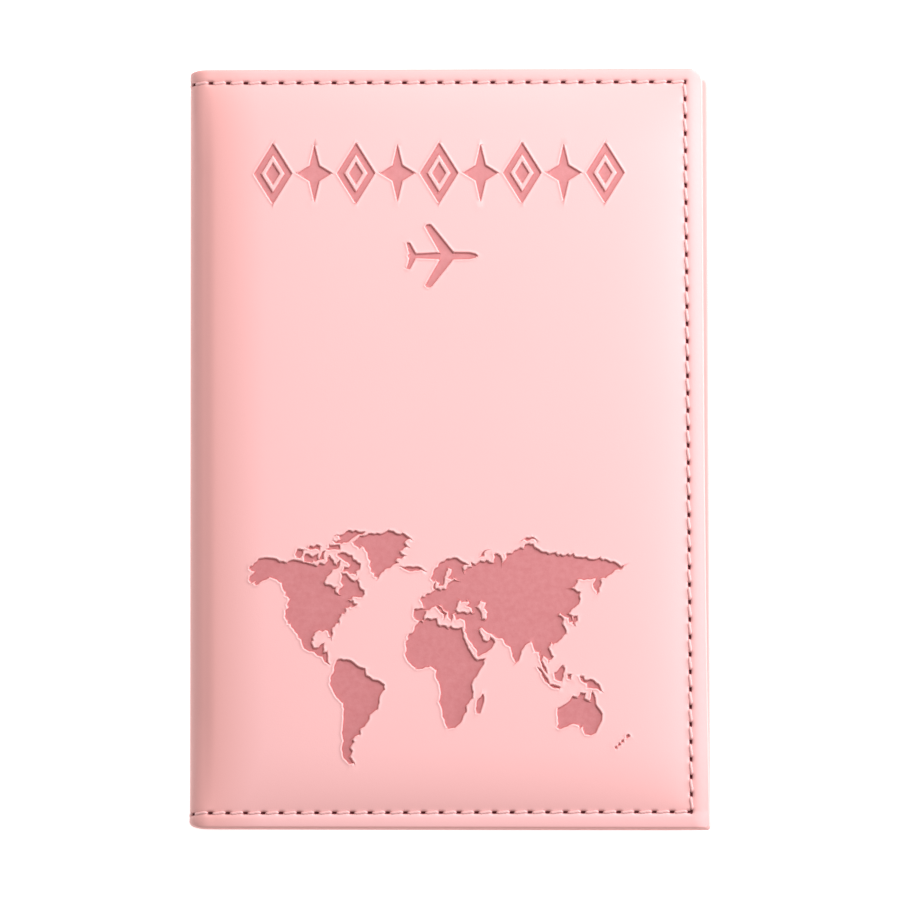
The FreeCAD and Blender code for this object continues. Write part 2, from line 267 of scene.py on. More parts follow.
COASTS = [
    # North and Central America
    [(-166, 68.5), (-156.5, 71.3), (-148, 70.2), (-141, 69.7), (-134, 68.7), (-128, 70.2),
     (-122, 69.8), (-115, 68), (-108, 68), (-104, 66.8), (-101, 67.8), (-97, 67), (-95, 69.5),
     (-94, 72), (-90, 69.2), (-88, 68.5), (-86, 67), (-82, 69.5), (-81.5, 67), (-87, 64.5),
     (-94, 60.5), (-94.5, 58.7), (-92.5, 57), (-87, 56), (-82.3, 55.2), (-82, 52.8), (-79, 51.3),
     (-79, 54.5), (-77, 57), (-78, 60), (-77.5, 62.5), (-72, 61.5), (-69.5, 59.5), (-66, 58.8),
     (-64.5, 60.3), (-61.5, 56.5), (-57, 53.5), (-56, 51.7), (-60, 50), (-66, 50), (-69, 48.5),
     (-65, 48), (-64.5, 46.2), (-61, 45.8), (-65.5, 43.6), (-67, 45), (-70.5, 43.2), (-70, 41.7),
     (-74, 40.6), (-76, 37), (-76, 35), (-81, 31.5), (-80.2, 26.5), (-81, 25.2), (-82.7, 28),
     (-84, 30), (-89.5, 30), (-94.5, 29.5), (-97.2, 27.5), (-97.6, 22.5), (-95.8, 18.8),
     (-91.5, 18.5), (-90.4, 21), (-87, 21.4), (-88.5, 16), (-84, 15.8), (-83.5, 11), (-82, 8),
     (-85.7, 10), (-87.6, 13), (-92, 14.5), (-95, 16), (-99.5, 16.7), (-105.5, 20),
     (-105.5, 22.5), (-109.3, 26), (-112.5, 29.5), (-117, 32.5), (-120.6, 34.5), (-122.5, 37.5),
     (-124.3, 40.4), (-124, 46), (-123, 49), (-127.5, 51), (-130.5, 54.5), (-133.5, 58),
     (-139, 59.7), (-146, 60.8), (-151.5, 59.3), (-157, 57), (-159, 57.6), (-157.5, 58.8),
     (-162, 58.6), (-166, 61.5), (-161, 64), (-168, 65.2)],
    # South America
    [(-77, 8.2), (-75.5, 10.7), (-72, 12), (-70, 10.8), (-64, 10.5), (-61, 9), (-57, 6),
     (-51.5, 4.5), (-50, 0.5), (-47, -0.8), (-44.5, -2.5), (-38.5, -3.8), (-35, -6), (-35, -9),
     (-39, -13.5), (-39.5, -18), (-41, -22), (-48, -25.5), (-48.7, -28.5), (-53, -33),
     (-57, -34.8), (-57.5, -38), (-62, -39), (-65, -41), (-63.7, -42.5), (-67.5, -46), (-66, -48),
     (-69, -51), (-65.2, -54.8), (-70, -55.2), (-74.5, -52), (-75.5, -47), (-73, -42),
     (-73.5, -37), (-71.5, -32), (-70.5, -24), (-70.3, -18.4), (-76, -14), (-79.5, -8),
     (-81.2, -5), (-80, 0.5), (-77.5, 4), (-78, 7.2)],
    # Greenland
    [(-73, 78.2), (-66, 80.8), (-58, 82.2), (-46, 82.2), (-35, 83.5), (-28, 81.8), (-20, 82),
     (-14, 80), (-21, 78), (-18, 76), (-25, 74), (-21, 71.5), (-29, 69.5), (-27, 68), (-36, 65.8),
     (-41, 63), (-43.5, 60), (-48, 61), (-51, 64), (-53, 67), (-54, 69), (-55, 72), (-60, 76),
     (-68, 76)],
    # Baffin, Victoria, Banks, Ellesmere and smaller islands of the north
    [(-61.5, 66.5), (-65.5, 62.5), (-71.5, 62.9), (-78, 64.5), (-73, 67.5), (-79, 70), (-86, 71),
     (-84, 73.7), (-78, 72.7), (-72, 71.3), (-67, 69.5)],
    [(-117, 69.5), (-112, 68.6), (-105, 69), (-105, 72.5), (-110, 71.6), (-115, 73),
     (-119, 71.5)],
    [(-128, 72), (-123, 71.2), (-121, 74), (-126, 74.8)],
    [(-103, 70), (-100, 70.5), (-99, 74), (-102, 73.5)],
    [(-98, 74.8), (-84, 75), (-86, 77), (-96, 76.8)],
    [(-93, 78.5), (-84, 77.6), (-77, 78.5), (-75, 80), (-62, 82.4), (-75, 83.2), (-91, 81.5),
     (-87, 80)],
    [(-117, 75.5), (-106, 75), (-105, 76.5), (-115, 76.7)],
    # Africa and Madagascar
    [(-6, 35.8), (-2, 35.2), (3, 36.8), (10, 37.3), (11, 34), (15.5, 32.3), (20, 31), (22, 32.8),
     (29, 31), (32.0, 31.2), (33, 27.8), (34.3, 24), (36.2, 20), (38.5, 15.5), (42, 11.8),
     (44.5, 10.5), (51.2, 11.8), (50, 8), (46, 3), (41.5, -2), (39.3, -6), (40.7, -11),
     (40.5, -15), (35, -20), (35.5, -24), (32.7, -27), (30.5, -31.5), (26, -34), (20, -34.8),
     (18.3, -33), (15.2, -27), (14.5, -22.5), (11.8, -17.5), (13.5, -12), (12.2, -6), (9, -1),
     (9.7, 3.5), (7, 4.4), (4.5, 6.3), (-2, 5), (-7.5, 4.4), (-11.5, 7), (-13.5, 9.5),
     (-16.8, 12.5), (-17.3, 14.7), (-16.2, 19), (-17, 21), (-13.5, 27.5), (-9.8, 30),
     (-9.7, 32.5)],
    [(49.2, -12.2), (50.3, -15.5), (47.3, -24.8), (45, -25.5), (43.5, -22), (44.3, -16.5),
     (47.5, -14.5)],
    # Europe and Asia
    [(-9, 37), (-9.3, 39), (-9, 43.2), (-1.7, 43.4), (-1.2, 46), (-4.7, 48.4), (1.7, 50.9),
     (4.5, 52.5), (8.3, 53.8), (8.2, 57), (10.5, 57.7), (10, 54.6), (14, 54), (19, 54.5),
     (21.5, 57.5), (24, 59.2), (30, 59.9), (25, 60.3), (21.5, 61), (25, 65), (22, 65.8),
     (17.3, 61), (18.5, 59.5), (16.5, 56.5), (12.8, 55.5), (11, 59), (8, 58), (5.2, 60),
     (6, 62.5), (12.5, 66), (15, 68.3), (21, 70.2), (28, 71), (34, 69.4), (41, 67), (36, 66),
     (38, 64.5), (44, 66), (44, 68.4), (48, 67), (54, 68.3), (60, 69.5), (66, 68), (67.5, 71),
     (70, 73), (73, 71.5), (73, 68), (76, 69), (80, 72.3), (88, 74), (94, 76), (98, 75.5),
     (104, 77.7), (110, 76.3), (113, 74.5), (119, 73), (128, 72.5), (134, 71), (140, 72.5),
     (152, 71), (161, 69.5), (170, 70), (180, 69), (190, 66), (181, 64.2), (178, 62.5), (170, 60),
     (166, 60), (164, 59.8), (163, 56), (157, 51.5), (156, 57), (160, 60.5), (155, 59.3),
     (149, 60), (143, 59.3), (136, 54.5), (141, 52), (140, 47), (135, 43.5), (130.5, 42.3),
     (127.5, 39.8), (129.4, 37), (129, 35.2), (126.4, 34.6), (126.5, 37.5), (121.5, 39.5),
     (121, 40.8), (118, 39), (122.4, 37), (119.3, 35), (121.8, 31.5), (121.7, 28), (118, 24.3),
     (113.5, 22.3), (109.8, 20.5), (108, 21.7), (105.7, 19), (109.2, 12.5), (104.8, 8.7),
     (105, 10.3), (102.5, 12.2), (100.5, 13.4), (99.3, 10), (103.3, 4), (104, 1.4), (101.3, 2.8),
     (100.3, 6), (98.4, 9), (97.7, 16), (94.3, 16), (91.8, 22.3), (88, 21.7), (82.3, 16.7),
     (80.1, 13), (79.8, 10.3), (77.5, 8.1), (74.8, 13), (72.8, 19), (70, 20.9), (69, 22.3),
     (66.7, 25), (61.5, 25.1), (57.5, 27.8), (54.5, 28.4), (52, 29.8), (50, 32), (47, 31.6),
     (48.5, 27.5), (50.5, 24.2), (54, 23), (57, 25), (60, 22.3), (57.5, 18.5), (52, 15.6),
     (46, 12.6), (44.5, 13), (44, 16.5), (40.4, 21), (36.4, 28), (34.2, 31.3), (36, 35.8),
     (30.5, 36.5), (27.3, 37), (26, 39.6), (28.5, 40.4), (35, 41), (42, 40.4), (41.4, 43.6),
     (38, 45.4), (39.5, 48), (35.5, 47), (31, 47.8), (27.8, 44.8), (27, 41.4), (24, 40.5),
     (23.5, 38), (22.3, 36.6), (19.5, 41), (15, 44.5), (13.6, 45.6), (12.3, 44.8), (16, 41.8),
     (18.4, 40), (16, 38), (15.7, 40), (10.5, 43), (8.8, 44.4), (3.5, 43.2), (0, 40.5),
     (-0.3, 38.5), (-2, 36.8), (-5.5, 36.1)],
    # Caspian Sea, a hole in Asia
    [(46.8, 44.6), (50, 47.6), (54.6, 46.6), (53.2, 43.6), (54.8, 41), (54.4, 36.4), (50, 36.6),
     (49.6, 40.4)],
    # Iceland and a strip of islands north of Asia
    [(-23, 65.5), (-14, 66.4), (-4, 65.6), (-1, 64.4), (-12, 64)],
    [(54, 71.4), (57, 71.6), (60, 74.4), (57, 74)],
    [(97, 79), (106, 78.6), (112, 79.6), (103, 80)],
    # Japan
    [(129, 33.4), (131, 33), (133, 36), (134.5, 38.5), (132, 38)],
    # Sumatra, Borneo, Java, Sulawesi and New Guinea
    [(95.4, 5.6), (98, 4.2), (104, -2), (106, -5.8), (102, -4), (98.7, 1.5)],
    [(109, 1.5), (111.5, 2.3), (115, 5), (117, 7), (119, 5), (117.8, 1), (116, -4),
     (110.5, -2.9)],
    [(105.5, -6.5), (108.5, -6.4), (114.4, -7.5), (114.3, -8.8), (108, -8)],
    [(121, 0.5), (124, 0.8), (123.5, -2.5), (121.5, -2)],
    [(131, -0.8), (134.5, -1), (135.5, -3.2), (141, -2.6), (145.8, -5.2), (147.5, -6),
     (150.5, -10.5), (146.5, -8.9), (138, -8.2), (137.8, -5.5), (133, -4), (132, -2.8)],
    # Australia
    [(114, -22), (114.2, -26), (115.8, -31.8), (115.2, -34.2), (118, -35), (124, -33.5),
     (129, -31.6), (134, -33), (135.8, -34.9), (138, -33), (138.5, -35.5), (141, -38.2),
     (146.3, -39), (150, -37.3), (153.2, -30), (153, -25.5), (149.5, -22.2), (146.3, -19),
     (145.3, -15), (142.5, -10.8), (141.6, -14), (140.8, -17.5), (136, -15.5), (136.8, -12.2),
     (132.6, -11.4), (130, -14.8), (126, -14), (122.2, -18), (117, -20.7)],
    # New Zealand
    [(177.5, -39.2), (179.5, -38.2), (181, -39.6), (179, -41)],
    [(174.6, -42.2), (176.2, -41.4), (177.2, -42.9), (175.4, -43.7)],
    [(172.4, -44.3), (174, -43.4), (174.9, -44.7), (173.2, -45.6)],
    [(170.6, -46.0), (172.0, -45.4), (172.6, -46.6), (171.2, -47.2)],
]

# Airplane seen from above, nose at +x; the upper half only, the other half is its mirror image
PLANE_CENTRE = (-1.3, 36.1)
PLANE_HALF = [(6.6, 0.0), (6.2, 0.35), (5.0, 0.62), (2.0, 0.66), (-1.9, 5.6), (-2.3, 6.0),
              (-3.0, 6.0), (-3.3, 5.6), (-0.5, 0.62), (-5.1, 0.40), (-6.2, 2.5), (-6.8, 2.5),
              (-6.3, 0.45), (-6.6, 0.0)]

# Ornament band: ringed diamonds and four-pointed stars in turn
BAND_CENTRE = (-1.97, 52.0)
BAND_MOTIFS = 9
BAND_PITCH = 7.85
MOTIF_HALF_WIDTH = 3.6
MOTIF_HALF_HEIGHT = 5.85
DIAMOND_RINGS = (1.0, 0.62, 0.36)
STAR_WAIST = 0.36
STAR_SIZE = 0.92

# cross-section of a stamped edge, by the distance from its outline
STAMP_DEPTH = 0.30
STAMP_WALL = 0.10
LIP_HEIGHT = 0.09
LIP_PLACE = 0.23
LIP_REACH = 0.12
LIGHT_STAMP = 0.88
STAMP_COLOUR_EDGE = 0.01
# how far inside the outline the painted shade of the stamped walls is centred, in wall widths
WALL_SHADE_SHIFT = 0.6
STAMP_STEP = 0.3
# distances from an outline at which the skin gets points
STAMP_RINGS = (0.0, -STAMP_WALL, STAMP_WALL, LIP_PLACE, 0.36, -0.3, 0.6, -0.65, 0.9)


def on_map(longitude, latitude):
    """Place on the cover of a longitude and latitude."""
    scaled = latitude / MAP_LATITUDES
    x = MAP_X[0] + longitude * (MAP_X[1] + MAP_X[2] * scaled ** 2)
    y = sum(factor * scaled ** power for power, factor in enumerate(MAP_Y))
    return x, y


def ragged(loop):
    """An outline with small teeth from fixed crossed waves, larger in the north."""
    points, normals = resampled(loop, COAST_STEP)
    x, y = points.T
    teeth = np.sin(5.1 * x + 3.3 * np.sin(4.7 * y)) + np.sin(7.3 * y - 2.9 * np.sin(6.1 * x))
    north = np.clip((y - TEETH_FROM_Y) / TEETH_OVER, 0, 1)
    size = SOUTH_TEETH + (NORTH_TEETH - SOUTH_TEETH) * north
    return points + normals * (size * teeth)[:, None]


def plane_loop():
    """Outline of the airplane, closed through its mirror image."""
    upper = [(PLANE_CENTRE[0] + x, PLANE_CENTRE[1] + y) for x, y in PLANE_HALF]
    lower = [(x, 2 * PLANE_CENTRE[1] - y) for x, y in upper[-2:0:-1]]
    return upper + lower


def diamond(cx, cy, scale):
    """Rhombus around a centre."""
    w = MOTIF_HALF_WIDTH * scale
    t = MOTIF_HALF_HEIGHT * scale
    return [(cx + w, cy), (cx, cy + t), (cx - w, cy), (cx, cy - t)]


def star(cx, cy):
    """Four-pointed star around a centre."""
    loop = []
    for corner in range(8):
        reach = STAR_SIZE if corner % 2 == 0 else STAR_WAIST
        angle = corner * math.pi / 4
        loop.append((cx + MOTIF_HALF_WIDTH * reach * math.cos(angle),
                     cy + MOTIF_HALF_HEIGHT * reach * math.sin(angle)))
    return loop


def band_loops():
    """The ornament band as closed outlines."""
    loops = []
    for index in range(BAND_MOTIFS):
        cx = BAND_CENTRE[0] + BAND_PITCH * (index - (BAND_MOTIFS - 1) / 2)
        if index % 2 == 0:
            loops += [diamond(cx, BAND_CENTRE[1], ring) for ring in DIAMOND_RINGS]
        else:
            loops.append(star(cx, BAND_CENTRE[1]))
    return loops


STAMP_LOOPS = [ragged([on_map(*point) for point in coast]) for coast in COASTS]
STAMP_LOOPS += [plane_loop()] + band_loops()


def stamp_points(loops):
    """Rings of points just inside, on and just outside the stamped outlines."""
    rings = []
    for loop in loops:
        points, normals = resampled(loop, STAMP_STEP)
        for offset in STAMP_RINGS:
            rings.append(points + normals * offset)
    return np.vstack(rings)


def stamping(u, y, loops):
    """Change of height, strength of colour and painted shade of the stamped shapes: a darker red down
    the lower walls, where shade falls.
    """
    distance = signed_distance(np.stack([u + SPINE_X - BEND, y], axis=1), loops)
    wall = eased(0.5 - distance / (2 * STAMP_WALL))
    lip = bell((distance - LIP_PLACE) / LIP_REACH)
    colour = np.clip((STAMP_COLOUR_EDGE - distance) / STAMP_WALL + 0.5, 0, 1)
    strength = np.where(y > 0, LIGHT_STAMP, 1.0)
    # painted shade: strongest on the lower half of each stamped wall
    wall_shade = bell(distance / STAMP_WALL + WALL_SHADE_SHIFT)
    return LIP_HEIGHT * lip - STAMP_DEPTH * wall, colour * strength, wall_shade


# ---------------------------------------------------------------- padding, as a pressed cloth
PAD_RISE = PLATEAU - RIM
PAD_START = BEND - 2.0
PAD_SETBACK = 0.7
CLOTH_STEP = 1.3
CLOTH_SCALE = 10.0
CLOTH_FRAMES = 20
CLOTH_PRESSURE = 20.0
CLOTH_STIFFNESS = 5
FOAM_GIVE = 2.2


def pressed_cloth(columns, rows):
    """Rise in millimetres of a cloth held at its rim and pressed up from below."""
    scale = MM * CLOTH_SCALE
    points = [(u * scale, y * scale, 0) for y in rows for u in columns]
    number = np.arange(len(points)).reshape(len(rows), len(columns))
    corners = (number[:-1, :-1], number[:-1, 1:], number[1:, 1:], number[1:, :-1])
    faces = np.stack([corner.ravel() for corner in corners], axis=1).tolist()
    rim = np.unique(np.concatenate([number[0], number[-1], number[:, 0], number[:, -1]])).tolist()
    mesh = bpy.data.meshes.new("pressed_cloth")
    mesh.from_pydata(points, [], faces)
    cloth = bpy.data.objects.new("pressed_cloth", mesh)
    bpy.context.scene.collection.objects.link(cloth)
    cloth.vertex_groups.new(name="held").add(rim, 1.0, "REPLACE")
    modifier = cloth.modifiers.new("cloth", "CLOTH")
    settings = modifier.settings
    settings.vertex_group_mass = "held"
    settings.use_pressure = True
    settings.uniform_pressure_force = CLOTH_PRESSURE
    settings.tension_stiffness = CLOTH_STIFFNESS
    settings.compression_stiffness = CLOTH_STIFFNESS
    settings.effector_weights.gravity = 0
    modifier.point_cache.frame_end = CLOTH_FRAMES
    for step in range(1, CLOTH_FRAMES + 1):
        bpy.context.scene.frame_set(step)
    shaped = cloth.evaluated_get(bpy.context.evaluated_depsgraph_get()).to_mesh()
    heights = np.array([vertex.co.z for vertex in shaped.vertices]) / scale
    bpy.data.objects.remove(cloth)
    bpy.data.meshes.remove(mesh)
    bpy.context.scene.frame_set(1)
    return heights.reshape(number.shape)


# ---------------------------------------------------------------- surface of a padded cover
SEAM_SLACK = 0.3          # how far the seams run past the corner where they meet
GROOVE_DEPTH = 0.10
GROOVE_REACH = 0.5
HOLE_DEPTH = 0.5
HOLE_WIDTH = 0.30
STRIP_BULGE = 0.08
END_FALL = 0.02
SIDE_FALL = 0.34
# distances from a seam at which the skin and the inside sheets get points
CREASE_OFFSETS = (-1.5, -1.0, -0.7, -0.48, -0.3, -0.15, 0, 0.15, 0.3, 0.48, 0.7, 1.0, 1.5)
INSIDE_OFFSETS = (-0.6, -0.3, -0.12, 0.12, 0.3, 0.6)
# how far the painted shade beside the spine fold reaches, and its strength on the slopes where the
# padding meets the end seams, weaker above
FOLD_SHADE_END = 17.0
SLOPE_SHADE_BELOW = 0.45
SLOPE_SHADE_ABOVE = 0.22
SLOPE_SHADE_REACH = 12.0
CORNER_FULLNESS = 0.85
CORNER_FROM_Y = 52.0


def corner_fullness(u, y):
    """Extra height of the skin round the spine near its two ends, where the hems stiffen it."""
    round_bend = np.sin(np.minimum(u, BEND) / SPINE_RADIUS * 2) ** 2
    near_end = np.clip((np.abs(y) - CORNER_FROM_Y) / (HALF_HEIGHT - CORNER_FROM_Y), 0, 1)
    return CORNER_FULLNESS * round_bend * near_end


class Cover:
    """One cover's outline, seams and outer surface."""

    def __init__(self, edge_x, side, upper_radius, lower_radius, flare, over, under, slant):
        """flare, over, under and slant say how far the edges stand past the CAD outline."""
        self.edge_u = along_skin(edge_x)
        self.flare = flare
        self.over = over
        self.under = under
        self.slant = slant
        self.side = side
        self.upper_radius = upper_radius
        self.lower_radius = lower_radius
        self.seam_y = HALF_HEIGHT - SEAM_INSET
        pad_end = self.seam_u(0) - PAD_SETBACK
        pad_half = self.seam_y - PAD_SETBACK
        self.columns = np.linspace(PAD_START, pad_end, round((pad_end - PAD_START) / CLOTH_STEP))
        self.rows = np.linspace(-pad_half, pad_half, round(2 * pad_half / CLOTH_STEP))
        cloth = pressed_cloth
        self.lift = 1 - np.exp(-np.maximum(cloth(self.columns, self.rows), 0) / FOAM_GIVE)

    def seam_u(self, y):
        """u of the side seam, which leans a little."""
        return self.edge_u - SIDE_SEAM_INSET - SIDE_SEAM_SLANT * np.asarray(y) / HALF_HEIGHT

    def edge(self, y):
        """u of the side edge, which spreads a little towards the lower corner."""
        return self.edge_u + self.flare * ((HALF_HEIGHT - y) / (2 * HALF_HEIGHT)) ** 3

    def end_edge(self, u, sign):
        """y of the upper or lower edge; the lower one is rounded off at the spine and slants."""
        away = eased(u / SPINE_END_REACH)
        if sign > 0:
            return HALF_HEIGHT + self.over * away
        under = self.under + self.slant * u / self.edge_u
        return -(HALF_HEIGHT + under * away - SPINE_END_RISE * (1 - away))

    def end_pitch(self):
        """Length of an end row's stitch with its gap."""
        return self.seam_u(0) / STITCHES_ON_END

    def side_pitch(self):
        """Length of the side row's stitch with its gap."""
        return 2 * self.seam_y / STITCHES_ON_SIDE

    def seam_gaps(self, u, y):
        """Distance past the end seams and past the side seam, and where each seam runs."""
        across_end = np.abs(y) - self.seam_y
        across_side = u - self.seam_u(y)
        return across_end, across_side, across_side < SEAM_SLACK, across_end < SEAM_SLACK

    def holes(self, u, y):
        """1 in the middle of a needle hole, falling to 0 around it."""
        across_end, across_side, on_end, on_side = self.seam_gaps(u, y)
        end_phase = u / self.end_pitch()
        along_end = (end_phase - np.round(end_phase)) * self.end_pitch()
        side_phase = (y + self.seam_y) / self.side_pitch()
        along_side = (side_phase - np.round(side_phase)) * self.side_pitch()
        end = np.exp(-(across_end / HOLE_WIDTH) ** 2 - (along_end / (HOLE_GAP_END / 2)) ** 4)
        side = np.exp(-(across_side / HOLE_WIDTH) ** 2 - (along_side / (HOLE_GAP_SIDE / 2)) ** 4)
        return np.maximum(end * on_end, side * on_side)

    def dip(self, u, y):
        """How far the thread pulls the skin in along the seams, and the holes with it."""
        across_end, across_side, on_end, on_side = self.seam_gaps(u, y)
        groove = np.maximum(bell(across_end / GROOVE_REACH) * on_end,
                            bell(across_side / GROOVE_REACH) * on_side)
        return GROOVE_DEPTH * groove + HOLE_DEPTH * self.holes(u, y)

    def rise(self, u, y):
        """Share of its full height that the padding reaches, read from the cloth."""
        column = np.interp(u, self.columns, np.arange(len(self.columns)))
        row = np.interp(y, self.rows, np.arange(len(self.rows)))
        left = np.minimum(column.astype(int), len(self.columns) - 2)
        below = np.minimum(row.astype(int), len(self.rows) - 2)
        across = column - left
        up = row - below
        low = self.lift[below, left] * (1 - across) + self.lift[below, left + 1] * across
        high = self.lift[below + 1, left] * (1 - across) + self.lift[below + 1, left + 1] * across
        return low * (1 - up) + high * up

    def padded_height(self, u, y):
        """Height of the outer skin without its seams."""
        return RIM + PAD_RISE * self.rise(u, y) + corner_fullness(u, y)

    def tone(self, u, y):
        """Strength of the painted shade beside the spine fold and on the slopes where the padding meets
        the end seams, stronger at the lower end.
        """
        beside_fold = np.clip((FOLD_SHADE_END - u) / (FOLD_SHADE_END - BEND), 0, 1)
        near_end = np.clip(1 - (self.seam_y - np.abs(y)) / SLOPE_SHADE_REACH, 0, 1)
        near_end = np.where(y > 0, SLOPE_SHADE_ABOVE, SLOPE_SHADE_BELOW * (y > -self.seam_y)) * near_end
        return np.maximum(beside_fold, near_end)

    def height(self, u, y):
        """Height of the outer skin over the plane between the covers, before stamping."""
        across_end, across_side, _, _ = self.seam_gaps(u, y)
        strip_end = np.clip(across_end / SEAM_INSET, 0, 1)
        strip_side = np.clip(across_side / SIDE_SEAM_INSET, 0, 1)
        strip = np.maximum(np.sin(math.pi * strip_end), np.sin(math.pi * strip_side))
        fall = np.maximum(END_FALL * strip_end ** 2, SIDE_FALL * strip_side ** 2)
        return self.padded_height(u, y) + STRIP_BULGE * strip - fall - self.dip(u, y)

    def outline(self, step):
        """Stations along the three free edges, with outward normals, from spine to spine."""
        stations = []
        lower, upper = self.lower_radius, self.upper_radius
        lower_u = self.edge(-HALF_HEIGHT) - lower
        low_y = self.end_edge(lower_u, -1)
        high_y = self.end_edge(lower_u, 1)
        for u in np.arange(0, lower_u, step):
            stations.append((u, self.end_edge(u, -1), 0, -1))
        stations += corner_arc(lower_u, low_y + lower, lower, -90)
        for y in np.arange(low_y + lower + step, high_y - upper, step):
            stations.append((self.edge(y), y, 1, 0))
        stations += corner_arc(self.edge_u - upper, high_y - upper, upper, 0)
        for u in np.arange(self.edge_u - upper - step, step / 2, -step):
            stations.append((u, self.end_edge(u, 1), 0, 1))
        stations.append((0, HALF_HEIGHT, 0, 1))
        return np.array(stations, float)


def seam_points(cover, offsets, per_stitch):
    """Close points along the three seams, where the groove and the needle holes are."""
    points = []
    for across in offsets:
        for sign in (-1, 1):
            u = np.linspace(0, cover.seam_u(0) + across, STITCHES_ON_END * per_stitch)[1:]
            points.append(np.stack([u, np.full(len(u), sign * (cover.seam_y + across))], axis=1))
        y = np.linspace(-cover.seam_y, cover.seam_y, STITCHES_ON_SIDE * per_stitch)
        points.append(np.stack([cover.seam_u(y) + across, y], axis=1))
    return np.vstack(points)


# spacing of the skin's points
OUTLINE_STEP = 0.55
SKIN_CELL = 0.08
SKIN_CLEARANCE = 0.11
SPINE_CLEARANCE = 0.2
BEND_START = 0.35
BEND_PAST = 1.2
BEND_MARGIN = 1.0
BEND_STEPS = (0.42, 1.3)
FLAT_MARGIN = 0.9
FLAT_STEP = 1.25
STITCH_POINTS = 12
SPINE_POINTS = 98
HEM_POINTS = 42
INNER_START = 2.0
INNER_MARGIN = 1.0
INNER_STEP = 2.5


def skin_points(cover, loop, loops):
    """Points inside the outline of the outer skin, closest together where its shape needs it."""
    past_bend = BEND + BEND_PAST
    bend_y = HALF_HEIGHT - BEND_MARGIN
    flat_y = HALF_HEIGHT - FLAT_MARGIN
    parts = [seam_points(cover, CREASE_OFFSETS, STITCH_POINTS)]
    parts.append(grid(BEND_START, past_bend, -bend_y, bend_y, *BEND_STEPS))
    if loops:
        shapes = stamp_points(loops)
        shapes[:, 0] = along_skin(shapes[:, 0])
        parts.append(shapes)
    parts.append(grid(past_bend, cover.edge(-HALF_HEIGHT), -flat_y, flat_y, FLAT_STEP, FLAT_STEP))
    points = thinned(np.vstack(parts), SKIN_CELL)
    clear = (points[:, 0] > SPINE_CLEARANCE) & (signed_distance(points, [loop]) < -SKIN_CLEARANCE)
    return points[clear]


def edge_rings(cover, base, normal, top_loop):
    """The turned edge and the hem as rings of u, y and height along the outline."""
    half = (cover.height(*top_loop.T) - HEM_UNDERSIDE) / 2
    rings = []
    for step in range(1, ROLL_STEPS + 1):
        turn = math.pi * step / ROLL_STEPS
        ring = base - normal * ROLL_INSET * (1 - math.sin(turn))
        ring[:, 0] = np.maximum(ring[:, 0], 0)
        rings.append((*ring.T, HEM_UNDERSIDE + half * (1 + math.cos(turn))))
    hem_u = np.clip(base[:, 0], 0, cover.edge_u - HEM_WIDTH)
    hem_y = np.clip(base[:, 1], -HALF_HEIGHT + HEM_WIDTH, HALF_HEIGHT - HEM_WIDTH)
    return rings + [(hem_u, hem_y, np.full(len(base), HEM_UNDERSIDE))]


def underside(cover, hem):
    """Inner face of the skin within its hem, as u and y, heights and faces.

    The last two results are the numbers of its points along the hem and along the spine."""
    hem_loop = np.array(list(dict.fromkeys(map(tuple, hem.tolist()))))
    spine_y = np.linspace(hem_loop[-1, 1], hem_loop[0, 1], HEM_POINTS)[1:-1]
    spine_side = np.stack([np.zeros(len(spine_y)), spine_y], axis=1)
    inner_y = HALF_HEIGHT - HEM_WIDTH - INNER_MARGIN
    coarse = grid(INNER_START, cover.edge_u - HEM_WIDTH - INNER_MARGIN, -inner_y, inner_y,
                  INNER_STEP, INNER_STEP)
    flat, faces, numbers = triangulate(np.vstack([hem_loop, spine_side]), coarse)
    height = cover.padded_height(*flat.T) - SKIN
    height[numbers] = RIM - SKIN
    number_at = dict(zip(map(tuple, hem_loop.tolist()), numbers))
    hem_row = [number_at[tuple(point)] for point in hem.tolist()]
    return flat, height, faces, hem_row, numbers[len(hem_loop):]


def shifted(numbers, count):
    """Point numbers moved on by a count."""
    return [number + count for number in numbers]


def make_cover(name, cover, material, loops=()):
    """Closed skin of a cover from the middle of the spine to its turned-in hem."""
    stations = cover.outline(OUTLINE_STEP)
    base, normal = stations[:, :2], stations[:, 2:]
    top_loop = base - normal * ROLL_INSET
    top_loop[:, 0] = np.maximum(top_loop[:, 0], 0)
    spine_y = np.linspace(top_loop[-1, 1], top_loop[0, 1], SPINE_POINTS)[1:-1]
    loop = np.vstack([top_loop, np.stack([np.zeros(len(spine_y)), spine_y], axis=1)])
    flat, faces, loop_numbers = triangulate(loop, skin_points(cover, loop, loops))
    u, y = flat.T
    change, stamp, wall_shade = stamping(u, y, loops) if loops else np.zeros((3, len(u)))
    points = [place(u, y, cover.height(u, y) + change, cover.side)]
    count = len(u)
    rows = [loop_numbers[:len(base)]]
    rings = edge_rings(cover, base, normal, top_loop)
    for ring in rings:
        points.append(place(*ring, cover.side))
        rows.append(list(range(count, count + len(base))))
        count += len(base)
    hem = np.stack(rings[-1][:2], axis=1)
    inner, inner_height, inner_faces, hem_row, inner_spine = underside(cover, hem)
    points.append(place(*inner.T, inner_height, cover.side))
    rows.append(shifted(hem_row, count))
    for first, second in zip(rows, rows[1:]):
        faces += strip_faces(first, second)
    faces += [shifted(face, count) for face in inner_faces]
    spine_end = loop_numbers[len(base):] + [row[0] for row in rows]
    spine_end += shifted(inner_spine, count)[::-1] + [row[-1] for row in rows[::-1]]
    faces.append(list(dict.fromkeys(spine_end)))
    points = np.vstack(points)
    below = (0, len(points) - len(u))
    # Three of these layers carry painted shade: one darkens the lower stamped walls, one the needle
    # holes, and one the skin beside the spine fold, on the slopes by the end seams, and the whole
    # turned edge and hem.
    layers = {"stamp": np.pad(stamp, below), "wall_shade": np.pad(wall_shade, below),
              "hole": np.pad(cover.holes(u, y), below),
              "painted_shade": np.pad(cover.tone(u, y), below, constant_values=1.0)}
    return make_object(name, points, faces, material, layers=layers)


